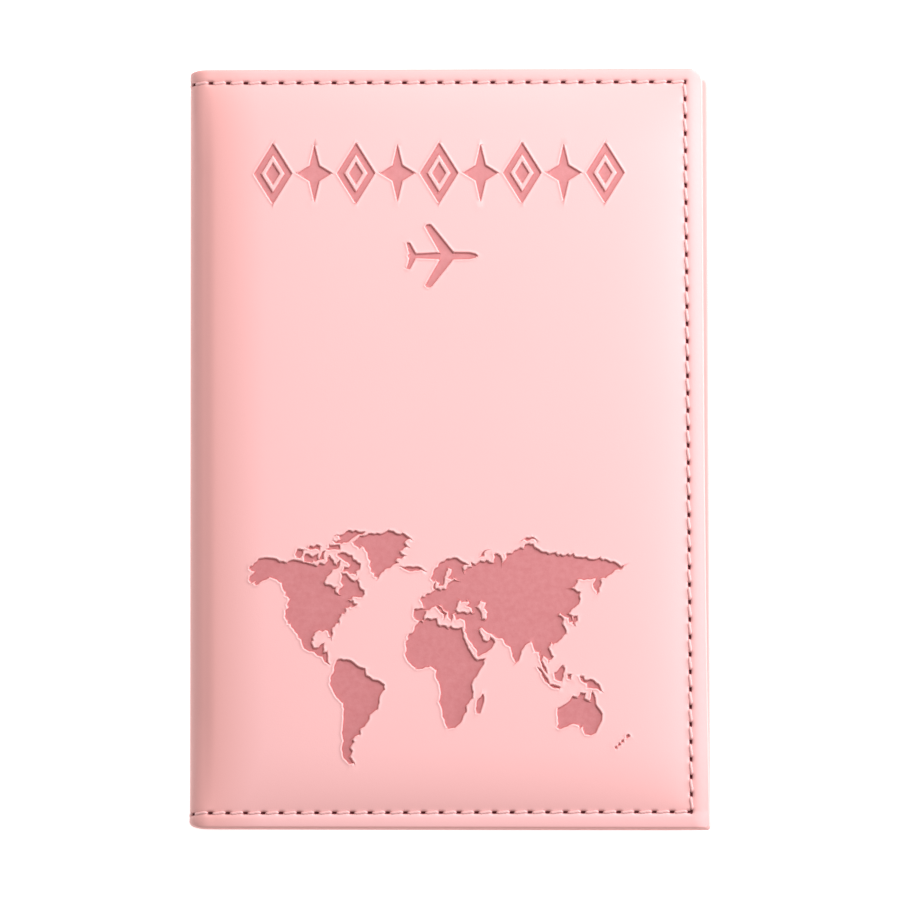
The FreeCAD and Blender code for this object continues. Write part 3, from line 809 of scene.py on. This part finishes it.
# ---------------------------------------------------------------- padding and inside sheets
FOAM_CLEARANCE = 0.05
SHEET_EDGE_STEPS = 6
POCKET_CUT_RADIUS = 22.0
POCKET_CUT_DEPTH = 5.0
FOLD_WIDTH = 1.7
FOLD_LIFT = 0.05
FOLD_CREASE = 0.09
FOLD_CREASE_REACH = 0.28
SLEEVE_MOUTH_DIP = 10.0
SLEEVE_MOUTH_HALF = 60.0
SLEEVE_PRESSED = 0.75
SLEEVE_SLOPE = 7.0
SLEEVE_MOUTH_RADIUS = (SLEEVE_MOUTH_HALF ** 2 + SLEEVE_MOUTH_DIP ** 2) / (2 * SLEEVE_MOUTH_DIP)
SLEEVE_THICKNESS = 0.38
MOUTH_SEAM_INSET = 2.0
MOUTH_CREASE_REACH = 0.4
# distances from a crease at which a sheet gets points
FOLD_RINGS = np.array([-0.55, -0.25, 0.0, 0.25, 0.55])
MOUTH_RINGS = np.array([-0.7, -0.35, 0.0, 0.35, 0.7])
# spacing of the sheets' points
SHEET_STEP = 0.8
SHEET_CELL = 0.2
SHEET_CLEARANCE = 0.12
SEAM_POINTS = 8
PANEL_STEP = 2.4
SLEEVE_STEP = 1.9
SHEET_START = 0.4
SHEET_BEND_PAST = 1.0
SHEET_BEND_STEPS = (0.5, 2.0)
SHEET_CORNER_STEPS = 4
LINING_END_POINTS = 150
LINING_SPINE_STEP = 1.5
FOAM_STEP = 1.6
# corner radii, the pad's distance from the seams, and the share of a seam's dip seen inside
LINING_CORNER = 1.5
PANEL_CORNER = 0.9
SLEEVE_CORNER = 1.5
FOAM_CORNER = 2.0
FOAM_SIDE_GAP = 1.4
FOAM_END_GAP = 1.2
INSIDE_DIP = 0.4


def make_layered(name, loop, inside, near, far, side, material, holes=None):
    """Closed sheet between two height functions, with a round edge along its outline.

    An outline point at u = 0 meets the other cover's sheet and keeps a flat end."""
    before = loop - np.roll(loop, 1, axis=0)
    after = np.roll(loop, -1, axis=0) - loop
    run = before / np.linalg.norm(before, axis=1)[:, None]
    run = run + after / np.linalg.norm(after, axis=1)[:, None]
    normal = np.stack([run[:, 1], -run[:, 0]], axis=1) / np.linalg.norm(run, axis=1)[:, None]
    normal[loop[:, 0] < 1e-6, 0] = 0
    thickness = far(*loop.T) - near(*loop.T)
    inset = normal * (thickness / 2)[:, None]
    inner_loop = loop - inset
    margin = float(np.max(thickness)) / 2 + SHEET_CLEARANCE
    inside = inside[signed_distance(inside, [loop]) < -margin]
    flat, faces, numbers = triangulate(inner_loop, inside)
    u, y = flat.T
    points = [place(u, y, near(u, y), side)]
    count = len(u)
    rows = [numbers]
    low = near(*loop.T)
    for step in range(1, SHEET_EDGE_STEPS):
        turn = math.pi * step / SHEET_EDGE_STEPS
        ring = loop - inset * (1 - math.sin(turn))
        points.append(place(ring[:, 0], ring[:, 1], low + thickness / 2 * (1 - math.cos(turn)), side))
        rows.append(list(range(count, count + len(loop))))
        count += len(loop)
    points.append(place(u, y, far(u, y), side))
    faces = faces + [shifted(face, count) for face in faces]
    rows.append(shifted(numbers, count))
    for first, second in zip(rows, rows[1:]):
        faces += strip_faces(first + first[:1], second + second[:1])
    points = np.vstack(points)
    layers = {}
    # a layer for painted shade in the needle holes of the inside sheets, read by the inner leather
    if holes is not None:
        layers["hole"] = np.zeros(len(points))
        layers["hole"][:len(u)] = holes(u, y)
    return make_object(name, points, faces, material, layers=layers)


def round_corner(u, y, radius, start_angle):
    """Points round a sheet's corner."""
    return [point[:2] for point in corner_arc(u, y, radius, start_angle, SHEET_CORNER_STEPS)]


def far_side(u1, y0, y1, radius):
    """Outline along the side away from the spine, with its two round corners."""
    side = [(u1, y) for y in walk(y0 + radius, y1 - radius, SHEET_STEP)]
    lower = round_corner(u1 - radius, y0 + radius, radius, -90)
    return lower + side + round_corner(u1 - radius, y1 - radius, radius, 0)


def uncut(along):
    """Cut of an edge that stays straight."""
    return 0


def sheet_outline(box, radius, top_cut=uncut, left_cut=uncut):
    """Closed outline in u and y of a rectangle with round corners, counter-clockwise.

    top_cut(u) and left_cut(y) say how far the top and left edges are cut away."""
    x0, x1, y0, y1 = box
    u0, u1 = along_skin(x0), along_skin(x1)
    loop = [(u, y0) for u in walk(u0 + radius, u1 - radius, SHEET_STEP)]
    loop += far_side(u1, y0, y1, radius)
    loop += [(u, y1 - top_cut(u)) for u in walk(u1 - radius, u0 + radius, SHEET_STEP)]
    loop += round_corner(u0 + radius, y1 - radius, radius, 90)
    loop += [(u0 + left_cut(y), y) for y in walk(y1 - radius, y0 + radius, SHEET_STEP)]
    return np.array(loop + round_corner(u0 + radius, y0 + radius, radius, 180))


def lining_outline(cover):
    """Outline of a lining half, from the middle of the spine to its inset edge."""
    u1 = cover.edge_u - LINING_INSET
    y1 = HALF_HEIGHT - LINING_INSET
    end_u = np.linspace(0, u1 - LINING_CORNER, LINING_END_POINTS)
    loop = [(u, -y1) for u in end_u[:-1]]
    loop += far_side(u1, -y1, y1, LINING_CORNER)
    loop += [(u, y1) for u in end_u[-2::-1]]
    loop += [(0, y) for y in walk(y1, -y1, LINING_SPINE_STEP)]
    return np.array(loop)


def sheet_points(cover, step):
    """Points over a whole cover for the inside sheets: an even grid, denser along the seams."""
    even = grid(SHEET_START, cover.edge_u, -HALF_HEIGHT, HALF_HEIGHT, step, step)
    bend = grid(SHEET_START, BEND + SHEET_BEND_PAST, -HALF_HEIGHT, HALF_HEIGHT, *SHEET_BEND_STEPS)
    seams = seam_points(cover, INSIDE_OFFSETS, SEAM_POINTS)
    return thinned(np.vstack([seams, bend, even]), SHEET_CELL)


def level(height):
    """A height function that is the same everywhere."""
    return lambda u, y: np.full(np.shape(u), height)


def notch(u):
    """Depth of a card pocket's thumb notch at u."""
    centre = along_skin((PANEL_BOX[0] + PANEL_BOX[1]) / 2)
    reach = POCKET_CUT_RADIUS ** 2 - (np.asarray(u) - centre) ** 2
    return np.maximum(np.sqrt(np.maximum(reach, 0)) - POCKET_CUT_RADIUS + POCKET_CUT_DEPTH, 0)


def mouth(y):
    """Depth of the bite out of the passport sleeve's mouth at y."""
    reach = np.maximum(SLEEVE_MOUTH_RADIUS ** 2 - np.asarray(y) ** 2, 0)
    return np.maximum(np.sqrt(reach) - SLEEVE_MOUTH_RADIUS + SLEEVE_MOUTH_DIP, 0)


def make_foam(name, cover, material):
    """Foam pad that fills the room between the board and the raised skin."""
    x1 = cover.edge_u - SIDE_SEAM_INSET - FOAM_SIDE_GAP - BEND + SPINE_X
    y1 = cover.seam_y - FOAM_END_GAP
    loop = sheet_outline((SPINE_X, x1, -y1, y1), FOAM_CORNER)

    def top(u, y):
        """Face under the raised skin."""
        return cover.padded_height(u, y) - SKIN - FOAM_CLEARANCE

    points = grid(BEND, cover.edge_u, -HALF_HEIGHT, HALF_HEIGHT, FOAM_STEP, FOAM_STEP)
    bottom = level(SKIN_UNDERSIDE + FOAM_CLEARANCE / 2)
    return make_layered(name, loop, points, bottom, top, cover.side, material)


def make_lining(name, cover, material):
    """Inside cloth of a cover with its half of the spine."""
    def near(u, y):
        """Face that shows."""
        return LINING_FACE + INSIDE_DIP * cover.dip(u, y)

    points = sheet_points(cover, PANEL_STEP)
    far = level(HEM_UNDERSIDE - SHEET_GAP / 2)
    return make_layered(name, lining_outline(cover), points, near, far, cover.side, material,
                        holes=cover.holes)


def make_panel(name, cover, box, face, back, material, pocket=False):
    """Flat leather sheet on the front's inside, a card pocket if it has a thumb notch."""
    top = box[3]

    def near(u, y):
        """Face that shows, with a pocket's folded edge and the crease below it."""
        height = face + INSIDE_DIP * cover.dip(u, y)
        if pocket:
            below = top - notch(u) - y
            height = height - FOLD_LIFT * (below < FOLD_WIDTH)
            height = height + FOLD_CREASE * bell((below - FOLD_WIDTH) / FOLD_CREASE_REACH)
        return height

    points = sheet_points(cover, PANEL_STEP)
    if pocket:
        u = np.arange(along_skin(box[0]), along_skin(box[1]), SHEET_STEP)
        for below in FOLD_WIDTH + FOLD_RINGS:
            points = np.vstack([np.stack([u, top - notch(u) - below], axis=1), points])
        points = thinned(points, SHEET_CELL)
    outline = sheet_outline(box, PANEL_CORNER, top_cut=notch if pocket else uncut)
    far = level(back - SHEET_GAP)
    return make_layered(name, outline, points, near, far, cover.side, material, holes=cover.holes)


def make_sleeve(name, cover, material):
    """Passport sleeve: sewn flat on three sides, a little puffed, open towards the spine."""
    def pressed(u, y):
        """How far the sleeve is pressed towards its board beside the seams."""
        from_seam = np.minimum(cover.seam_y - np.abs(y), cover.seam_u(y) - u)
        return SLEEVE_PRESSED * (1 - eased(from_seam / SLEEVE_SLOPE))

    def near(u, y):
        """Face that shows, with the crease of the seam at its mouth."""
        below = u - along_skin(SLEEVE_BOX[0]) - mouth(y)
        crease = FOLD_CREASE / 2 * bell((below - MOUTH_SEAM_INSET) / MOUTH_CREASE_REACH)
        return SLEEVE_FACE + pressed(u, y) + INSIDE_DIP * cover.dip(u, y) + crease

    def far(u, y):
        """Face on the side of the board."""
        return SLEEVE_FACE + SLEEVE_THICKNESS + pressed(u, y)

    y = np.arange(-cover.seam_y, cover.seam_y, SHEET_STEP)
    points = [sheet_points(cover, SLEEVE_STEP)]
    for below in MOUTH_SEAM_INSET + MOUTH_RINGS:
        points.append(np.stack([along_skin(SLEEVE_BOX[0]) + mouth(y) + below, y], axis=1))
    outline = sheet_outline(SLEEVE_BOX, SLEEVE_CORNER, left_cut=mouth)
    return make_layered(name, outline, thinned(np.vstack(points), SHEET_CELL), near, far,
                        cover.side, material, holes=cover.holes)


# ---------------------------------------------------------------- stitches
THREAD_HALF_WIDTH = 0.29
THREAD_HALF_HEIGHT = 0.20
THREAD_SEGMENTS = 14
THREAD_SIDES = 10
PLY_TURNS = 1.1
PLY_DEPTH = 0.10
THREAD_BOW = 0.05
THREAD_SUNK = 0.55
THREAD_SMOOTH_ANGLE = 70
DIVE_FROM = 0.8
DIVE_SLOPE = 1.6
THINNEST = 0.05
STITCH_SLANT = math.radians(4)
STITCH_OVERLAP = 0.45
END_SINK = 0.09
STITCH_PITCH = 3.35
CARD_DEPTH = 44.0
MOUTH_THREAD_SINK = 0.03
SHEET_LAP = 0.5           # a stitch lies on a sheet when it is this far inside the sheet's edge
SIDE_ROW_INSET = 1.4
BOTTOM_ROW_GAP = 1.7
BOTTOM_ROW_SINKS = (0.2, 0.2, 0.0)    # how far each pocket's bottom row lies under its face


def sew(name, seam, side, material, out=1):
    """Thread of a seam: one arched, twisted tube per stitch, its ends sunk in the needle holes.

    seam is a list of (u, y, direction, length, surface height)."""
    centre_u, centre_y, direction, length, surface = np.array(seam, float).T[:, :, None, None]
    half = (length + STITCH_OVERLAP) / 2
    s = np.linspace(-1, 1, THREAD_SEGMENTS)
    theta = np.linspace(0, 2 * math.pi, THREAD_SIDES, endpoint=False)
    # the arch is nearly flat along the stitch and dives into the hole at both ends
    arch = 1 - np.abs(s) ** 5 - DIVE_SLOPE * np.clip(np.abs(s) - DIVE_FROM, 0, 1)
    taper = np.sqrt(np.clip(1 - np.abs(s) ** 8, THINNEST, 1))
    ply = 1 + PLY_DEPTH * np.cos(2 * (theta[None] - 2 * math.pi * PLY_TURNS * s[:, None]))
    across = THREAD_HALF_WIDTH * taper[:, None] * ply * np.cos(theta)[None]
    up = THREAD_HALF_HEIGHT * taper[:, None] * ply * np.sin(theta)[None]
    along = s[:, None] * half
    across = across + THREAD_BOW * np.sin(math.pi * s)[:, None]
    cos_d, sin_d = np.cos(direction + STITCH_SLANT), np.sin(direction + STITCH_SLANT)
    u = centre_u + along * cos_d - across * sin_d
    y = centre_y + along * sin_d + across * cos_d
    lift = THREAD_HALF_HEIGHT * (arch - THREAD_SUNK)
    h = surface + out * (lift[:, None] + up)
    if out > 0:
        h = h + corner_fullness(np.abs(u), y)
    points = place(np.abs(u), y, h, side).reshape(-1, 3)
    faces = []
    per_stitch = THREAD_SEGMENTS * THREAD_SIDES
    for first in range(0, len(seam) * per_stitch, per_stitch):
        rings = [list(range(start, start + THREAD_SIDES))
                 for start in range(first, first + per_stitch, THREAD_SIDES)]
        for ring, after in zip(rings, rings[1:]):
            faces += strip_faces(ring + ring[:1], after + after[:1])
        faces += [rings[0], rings[-1]]
    return make_object(name, points, faces, material, THREAD_SMOOTH_ANGLE)


def edge_seam(cover, surface):
    """Stitches along the three edges of a cover; surface(u, y) is the height they lie on."""
    places = []
    pitch = cover.end_pitch()
    for sign in (-1, 1):
        for index in range(STITCHES_ON_END):
            places.append((pitch * (index + 0.5), sign * cover.seam_y, 0.0, pitch - HOLE_GAP_END))
    pitch = cover.side_pitch()
    for index in range(STITCHES_ON_SIDE):
        y = -cover.seam_y + pitch * (index + 0.5)
        places.append((float(cover.seam_u(y)), y, math.pi / 2, pitch - HOLE_GAP_SIDE))
    return [(*spot, surface(*spot[:2])) for spot in places]


def on_outside(u, y):
    """Height that the outer stitches lie on, a little deeper along the ends."""
    on_end = math.isclose(abs(y), HALF_HEIGHT - SEAM_INSET)
    return RIM - GROOVE_DEPTH - (END_SINK if on_end else 0)


def front_sheet_face(u, y):
    """Height of the innermost sheet of the front cover."""
    if u < along_skin(PANEL_BOX[0]) + SHEET_LAP:
        return LINING_FACE
    faces = [PANEL_FACE] + [near for box, near, _ in map(layer, POCKETS) if y < box[3]]
    return min(faces)


def back_sheet_face(u, y):
    """Height of the innermost sheet of the back cover along its seam."""
    if u < along_skin(SLEEVE_BOX[0]) + SHEET_LAP:
        return LINING_FACE
    return SLEEVE_FACE + SLEEVE_PRESSED


def straight_seam(start, end, turn, fixed, surface):
    """Stitches of a short straight seam along u or along y."""
    count = round(abs(end - start) / STITCH_PITCH)
    step = (end - start) / count
    seam = []
    for index in range(count):
        at = start + step * (index + 0.5)
        u, y = (fixed, at) if turn else (at, fixed)
        seam.append((u, y, turn, step - HOLE_GAP_SIDE, surface(u, y)))
    return seam


def mouth_seam():
    """Stitches beside the passport sleeve's curved mouth."""
    seam = []
    for y in walk(-SLEEVE_MOUTH_HALF, SLEEVE_MOUTH_HALF, STITCH_PITCH):
        u = along_skin(SLEEVE_BOX[0]) + float(mouth(y)) + MOUTH_SEAM_INSET
        turn = math.pi / 2 + math.asin(y / SLEEVE_MOUTH_RADIUS)
        seam.append((u, y, turn, STITCH_PITCH - HOLE_GAP_SIDE, SLEEVE_FACE + MOUTH_THREAD_SINK))
    return seam


# ---------------------------------------------------------------- materials
STAMP_LIGHT = (0.628, 0.230, 0.236, 1)
STAMP_DEEP = (0.565, 0.178, 0.184, 1)
# painted shade colour, dark red, for the walls of the stamped shapes
WALL_SHADE_COLOUR = (0.54, 0.135, 0.13, 1)
# painted shade colour for the skin beside the spine fold, on the seam slopes and on the turned edges
PAINTED_SHADE_COLOUR = (0.820, 0.404, 0.380, 1)
# painted shade colour, near black, for the needle holes
HOLE_SHADE_COLOUR = (0.13, 0.02, 0.025, 1)
WEAVE_SCALE = 600.0
FLOOR_GLOW = 0.62


class Look:
    """A material being made: its Principled shader and the nodes that feed it."""

    def __init__(self, name, roughness=0.5, sheen=0.0):
        """A new material with nothing but its shader and object coordinates."""
        self.material = bpy.data.materials.new(name)
        self.material.use_nodes = True
        self.tree = self.material.node_tree
        self.tree.nodes.clear()
        output = self.tree.nodes.new("ShaderNodeOutputMaterial")
        self.shader = self.tree.nodes.new("ShaderNodeBsdfPrincipled")
        self.tree.links.new(self.shader.outputs["BSDF"], output.inputs["Surface"])
        self.shader.inputs["Roughness"].default_value = roughness
        self.shader.inputs["Sheen Weight"].default_value = sheen
        self.where = self.tree.nodes.new("ShaderNodeTexCoord").outputs["Object"]

    def node(self, kind, values=None, links=None, **settings):
        """Add a node, set its sockets from values, and link sockets from other nodes' outputs."""
        made = self.tree.nodes.new(kind)
        for key, value in settings.items():
            setattr(made, key, value)
        for key, value in (values or {}).items():
            made.inputs[key].default_value = value
        for key, value in (links or {}).items():
            self.tree.links.new(value, made.inputs[key])
        return made

    def drive(self, socket, value):
        """Feed one of the shader's sockets."""
        self.tree.links.new(value, self.shader.inputs[socket])

    def mix(self, factor, first, second):
        """Mix of two colours, each a socket or a constant, by a factor socket."""
        made = self.node("ShaderNodeMix", links={0: factor}, data_type="RGBA")
        for index, colour in ((6, first), (7, second)):
            if isinstance(colour, tuple):
                made.inputs[index].default_value = colour
            else:
                self.tree.links.new(colour, made.inputs[index])
        return made.outputs[2]

    def layer(self, name):
        """Values of one of the mesh's named layers."""
        return self.node("ShaderNodeAttribute", attribute_name=name).outputs["Fac"]

    def noise(self, scale, detail=2.0, roughness=0.5):
        """Noise factor over object coordinates."""
        values = {"Scale": scale, "Detail": detail, "Roughness": roughness}
        return self.node("ShaderNodeTexNoise", values, {"Vector": self.where}).outputs["Fac"]

    def ranged(self, value, low, high, to_low=0.0, to_high=1.0):
        """A socket's value spread from one range to another."""
        values = {"From Min": low, "From Max": high, "To Min": to_low, "To Max": to_high}
        return self.node("ShaderNodeMapRange", values, {"Value": value}).outputs["Result"]

    def combined(self, operation, first, second):
        """Sum or product of two sockets."""
        return self.node("ShaderNodeMath", links={0: first, 1: second}, operation=operation).outputs[0]

    def bump(self, height, strength, distance):
        """Feed a height socket to the surface normal."""
        values = {"Strength": strength, "Distance": distance}
        self.drive("Normal", self.node("ShaderNodeBump", values, {"Height": height}).outputs["Normal"])


def leather_material(name, light, deep, grain_scale):
    """Matte fine-grained leather, darker and mottled where it is stamped, with painted shade beside the
    spine fold, on the seam slopes, on the turned edges, on the stamped walls and in the needle holes.
    """
    look = Look(name)
    clouds = look.noise(38.0, 3.0, 0.55)
    # painted shade beside the spine fold, on the seam slopes and on the turned edge and hem
    base = look.mix(look.layer("painted_shade"), look.mix(clouds, light, deep), PAINTED_SHADE_COLOUR)
    mottle = look.ranged(look.noise(950.0, 5.0, 0.62), 0.25, 0.75)
    # painted shade on the stamped walls, mixed over the stamped colour
    stamped = look.mix(look.layer("wall_shade"), look.mix(mottle, STAMP_DEEP, STAMP_LIGHT), WALL_SHADE_COLOUR)
    coloured = look.mix(look.layer("stamp"), base, stamped)
    # painted shade in the needle holes
    hole_shade = look.ranged(look.layer("hole"), 0.25, 0.7)
    look.drive("Base Color", look.mix(hole_shade, coloured, HOLE_SHADE_COLOUR))
    grain = look.node("ShaderNodeTexVoronoi", {"Scale": grain_scale}, {"Vector": look.where},
                      feature="DISTANCE_TO_EDGE")
    pores = look.noise(grain_scale * 2)
    look.bump(look.combined("ADD", grain.outputs["Distance"], pores), 0.18, 0.00005)
    look.drive("Roughness", look.ranged(clouds, 0.3, 0.7, 0.46, 0.56))
    look.shader.inputs["Specular IOR Level"].default_value = 0.35
    return look.material


def thread_material():
    """Satin twisted thread close to the leather's own colour."""
    look = Look("pink_thread", roughness=0.5, sheen=0.2)
    fibres = look.noise(3800.0, 3.0)
    look.drive("Base Color", look.mix(fibres, (0.78, 0.39, 0.375, 1), (0.86, 0.48, 0.465, 1)))
    look.bump(fibres, 0.35, 0.00004)
    return look.material


def cloth_material():
    """Plain-woven pink lining with uneven yarns."""
    look = Look("lining_cloth", roughness=0.8, sheen=0.3)
    yarns = []
    for direction in ("X", "Y"):
        values = {"Scale": WEAVE_SCALE, "Distortion": 0.4, "Detail": 1.0}
        wave = look.node("ShaderNodeTexWave", values, {"Vector": look.where}, bands_direction=direction)
        yarns.append(look.ranged(wave.outputs["Fac"], 0.0, 1.0, -1.0, 1.0))
    weave = look.ranged(look.combined("MULTIPLY", *yarns), -1.0, 1.0)
    slub = look.noise(260.0, 4.0, 0.6)
    light = look.mix(slub, (0.78, 0.43, 0.42, 1), (0.90, 0.56, 0.55, 1))
    look.drive("Base Color", look.mix(weave, (0.62, 0.30, 0.30, 1), light))
    look.bump(weave, 0.5, 0.00008)
    return look.material


def foam_material():
    """Cream open-cell foam."""
    look = Look("foam", roughness=0.95)
    cells = look.node("ShaderNodeTexVoronoi", {"Scale": 1400.0}, {"Vector": look.where})
    depth = look.ranged(cells.outputs["Distance"], 0.0, 0.6)
    look.drive("Base Color", look.mix(depth, (0.86, 0.81, 0.68, 1), (0.60, 0.54, 0.42, 1)))
    look.bump(depth, 0.6, 0.0002)
    return look.material


def board_material():
    """Grey-brown card with pressed fibres."""
    look = Look("card_board", roughness=0.9)
    fibres = look.noise(900.0, 6.0, 0.7)
    look.drive("Base Color", look.mix(fibres, (0.20, 0.15, 0.10, 1), (0.36, 0.29, 0.20, 1)))
    look.bump(fibres, 0.3, 0.0001)
    return look.material


def floor_material():
    """White studio sheet with a barely uneven tone."""
    look = Look("studio_sheet", roughness=0.9)
    tone = look.noise(3.0, 1.0)
    look.drive("Base Color", look.mix(tone, (0.94, 0.94, 0.94, 1), (0.97, 0.97, 0.97, 1)))
    look.shader.inputs["Emission Color"].default_value = (1, 1, 1, 1)
    look.shader.inputs["Emission Strength"].default_value = FLOOR_GLOW
    return look.material


# ---------------------------------------------------------------- studio
CAMERA_TILT_X = math.radians(0.376)
CAMERA_TILT_Y = math.radians(8.745)
CAMERA_DISTANCE = 2.610
CAMERA_LENS = 552.9
CAMERA_ROLL = math.radians(-0.103)
FLOOR_HALF = 1500
FLOOR_Z = -0.0002
WORLD_LIGHT = 0.447
# each light's name, size in metres, power in watts, position in metres and colour
LIGHTS = (("key", 0.26, 5.35, (0.30, 0.44, 0.46), (1.0, 0.985, 1.0)),
          ("side_fill", 0.35, 4.6, (0.75, 0.05, 0.14), (0.94, 1.0, 1.10)))


def make_camera():
    """Long lens above the holder, leaning towards its lower edge."""
    data = bpy.data.cameras.new("camera")
    data.lens = CAMERA_LENS
    data.sensor_width = 36.0
    data.clip_start = 0.05
    data.clip_end = 20.0
    camera = bpy.data.objects.new("camera", data)
    bpy.context.scene.collection.objects.link(camera)
    away = Vector((math.tan(CAMERA_TILT_X), -math.tan(CAMERA_TILT_Y), 1)).normalized()
    right = Vector((0, 1, 0)).cross(away).normalized()
    up = away.cross(right)
    turned_right = right * math.cos(CAMERA_ROLL) + up * math.sin(CAMERA_ROLL)
    turned_up = up * math.cos(CAMERA_ROLL) - right * math.sin(CAMERA_ROLL)
    matrix = Matrix((turned_right, turned_up, away)).transposed().to_4x4()
    matrix.translation = Vector((0, 0, MIDDLE * MM)) + away * CAMERA_DISTANCE
    camera.matrix_world = matrix
    bpy.context.scene.camera = camera


def make_light(name, size, power, position, colour):
    """Square soft light that faces the holder."""
    data = bpy.data.lights.new(name, "AREA")
    data.size = size
    data.energy = power
    data.color = colour
    light = bpy.data.objects.new(name, data)
    bpy.context.scene.collection.objects.link(light)
    light.location = position
    light.rotation_euler = (-Vector(position)).to_track_quat("-Z", "Y").to_euler()


def make_studio():
    """Pale floor, even white surroundings, a soft key from the upper right and a low side light."""
    corners = [(-FLOOR_HALF, -FLOOR_HALF, 0), (FLOOR_HALF, -FLOOR_HALF, 0),
               (FLOOR_HALF, FLOOR_HALF, 0), (-FLOOR_HALF, FLOOR_HALF, 0)]
    floor = make_object("floor", corners, [[0, 1, 2, 3]], floor_material())
    floor.location.z = FLOOR_Z
    world = bpy.data.worlds.new("surroundings")
    world.use_nodes = True
    background = world.node_tree.nodes["Background"]
    background.inputs["Color"].default_value = (1, 1, 1, 1)
    background.inputs["Strength"].default_value = WORLD_LIGHT
    bpy.context.scene.world = world
    for light in LIGHTS:
        make_light(*light)
    bpy.context.scene.view_settings.view_transform = "Standard"


# ---------------------------------------------------------------- the object
make_camera()

front = Cover(FRONT_EDGE, side=1, upper_radius=2.6, lower_radius=1.0,
              flare=0.85, over=0.3, under=0.45, slant=0.4)
back = Cover(BACK_EDGE, side=-1, upper_radius=1.4, lower_radius=0.8,
             flare=0.0, over=0.0, under=-0.5, slant=0.45)
outer_leather = leather_material("pink_leather", light=(0.925, 0.506, 0.496, 1),
                                 deep=(0.905, 0.480, 0.470, 1), grain_scale=2600.0)
inner_leather = leather_material("inner_leather", light=(0.840, 0.455, 0.446, 1),
                                 deep=(0.790, 0.410, 0.402, 1), grain_scale=1900.0)
lining_cloth = cloth_material()
thread = thread_material()
foam = foam_material()
board = board_material()

OUTER_BEND = SPINE_RADIUS
INNER_BEND = (LINING_FACE + HEM_UNDERSIDE) / 2


def bend_with(obj, side):
    """Bake the placement of a piece that lies round the spine into its mesh, the same for either cover.
    """
    if side > 0:
        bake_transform(obj)
    else:
        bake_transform(obj)


def finish(obj, slot, *nodes):
    """Hide the CAD solids that a piece stands for."""
    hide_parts(*nodes)


def sew_edge(name, cover, surface, out, radius, *nodes):
    """The seam along a cover's three edges, outside or inside."""
    stitches = sew(name, edge_seam(cover, surface), cover.side, thread, out)
    bend_with(stitches, cover.side)
    finish(stitches, "pink_thread", *nodes)


def sew_row(name, cover, body, seam, node):
    """A short seam on the inside of one cover."""
    stitches = sew(name, seam, cover.side, thread, out=-1)
    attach(stitches, body)
    finish(stitches, "pink_thread", node)


# outer skins and their stitches
for cover, name, loops, nodes in (
        (front, "front_leather", STAMP_LOOPS, ("front_cover_leather", "spine_leather")),
        (back, "back_leather", (), ("back_cover_leather",))):
    skin = make_cover(name, cover, outer_leather, loops)
    bend_with(skin, cover.side)
    finish(skin, "pink_leather", *nodes)
sew_edge("front_edge_stitches", front, on_outside, 1, OUTER_BEND, "front_outer_thread",
         "spine_outer_thread")
sew_edge("back_edge_stitches", back, on_outside, 1, OUTER_BEND, "back_outer_thread")

# padding and boards
for cover, name, body in ((front, "front_foam", "front_cover"), (back, "back_foam", "back_cover")):
    pad = make_foam(name, cover, foam)
    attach(pad, body)
    finish(pad, "foam", name + "_pad")
for name in ("front_stiffener_board", "back_stiffener_board"):
    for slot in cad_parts[name].material_slots:
        slot.material = board

# lining, its two halves meeting in the middle of the spine
for cover, name, nodes in ((front, "front_lining_cloth", ("front_lining", "spine_lining")),
                           (back, "back_lining_cloth", ("back_lining",))):
    half_lining = make_lining(name, cover, lining_cloth)
    bend_with(half_lining, cover.side)
    finish(half_lining, "lining_cloth", *nodes)

# slip panel, card pockets and passport sleeve
slip_panel = make_panel("slip_panel", front, PANEL_BOX, PANEL_FACE, LINING_FACE, inner_leather)
flat_pieces = [(slip_panel, "front_cover", "front_slip_panel", PANEL_BOX)]
for name in POCKETS:
    box, face, back_face = layer(name)
    pocket = make_panel(name + "_leather", front, box, face, back_face, inner_leather, pocket=True)
    flat_pieces.append((pocket, "front_cover", name, box))
sleeve = make_sleeve("passport_sleeve", back, inner_leather)
flat_pieces.append((sleeve, "back_cover", "back_passport_sleeve", SLEEVE_BOX))
for piece, body, name, (x0, x1, y0, y1) in flat_pieces:
    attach(piece, body)
    finish(piece, "inner_leather", name)

# stitches on the inside
SIDE_SEAM_U = along_skin(PANEL_BOX[0]) + SIDE_ROW_INSET
POCKET_TOP = layer(POCKETS[0])[0][3]
sew_edge("front_inner_stitches", front, front_sheet_face, -1, INNER_BEND, "front_inner_thread",
         "spine_inner_thread")
sew_edge("back_inner_stitches", back, back_sheet_face, -1, INNER_BEND, "back_inner_thread")
side_row = straight_seam(-front.seam_y + STITCH_PITCH, POCKET_TOP, math.pi / 2, SIDE_SEAM_U,
                         front_sheet_face)
sew_row("pocket_side_stitches", front, "front_cover", side_row, "pocket_side_thread")
bottom_rows = []
for name, sunk in zip(POCKETS, BOTTOM_ROW_SINKS):
    box, face, _ = layer(name)
    row_y = box[3] - CARD_DEPTH
    row_end = float(front.seam_u(row_y)) - BOTTOM_ROW_GAP
    bottom_rows += straight_seam(SIDE_SEAM_U + BOTTOM_ROW_GAP, row_end, 0.0, row_y,
                                 lambda u, y: face + sunk)
sew_row("pocket_bottom_stitches", front, "front_cover", bottom_rows, "pocket_bottom_thread")
sew_row("sleeve_mouth_stitches", back, "back_cover", mouth_seam(), "sleeve_mouth_thread")

make_studio()
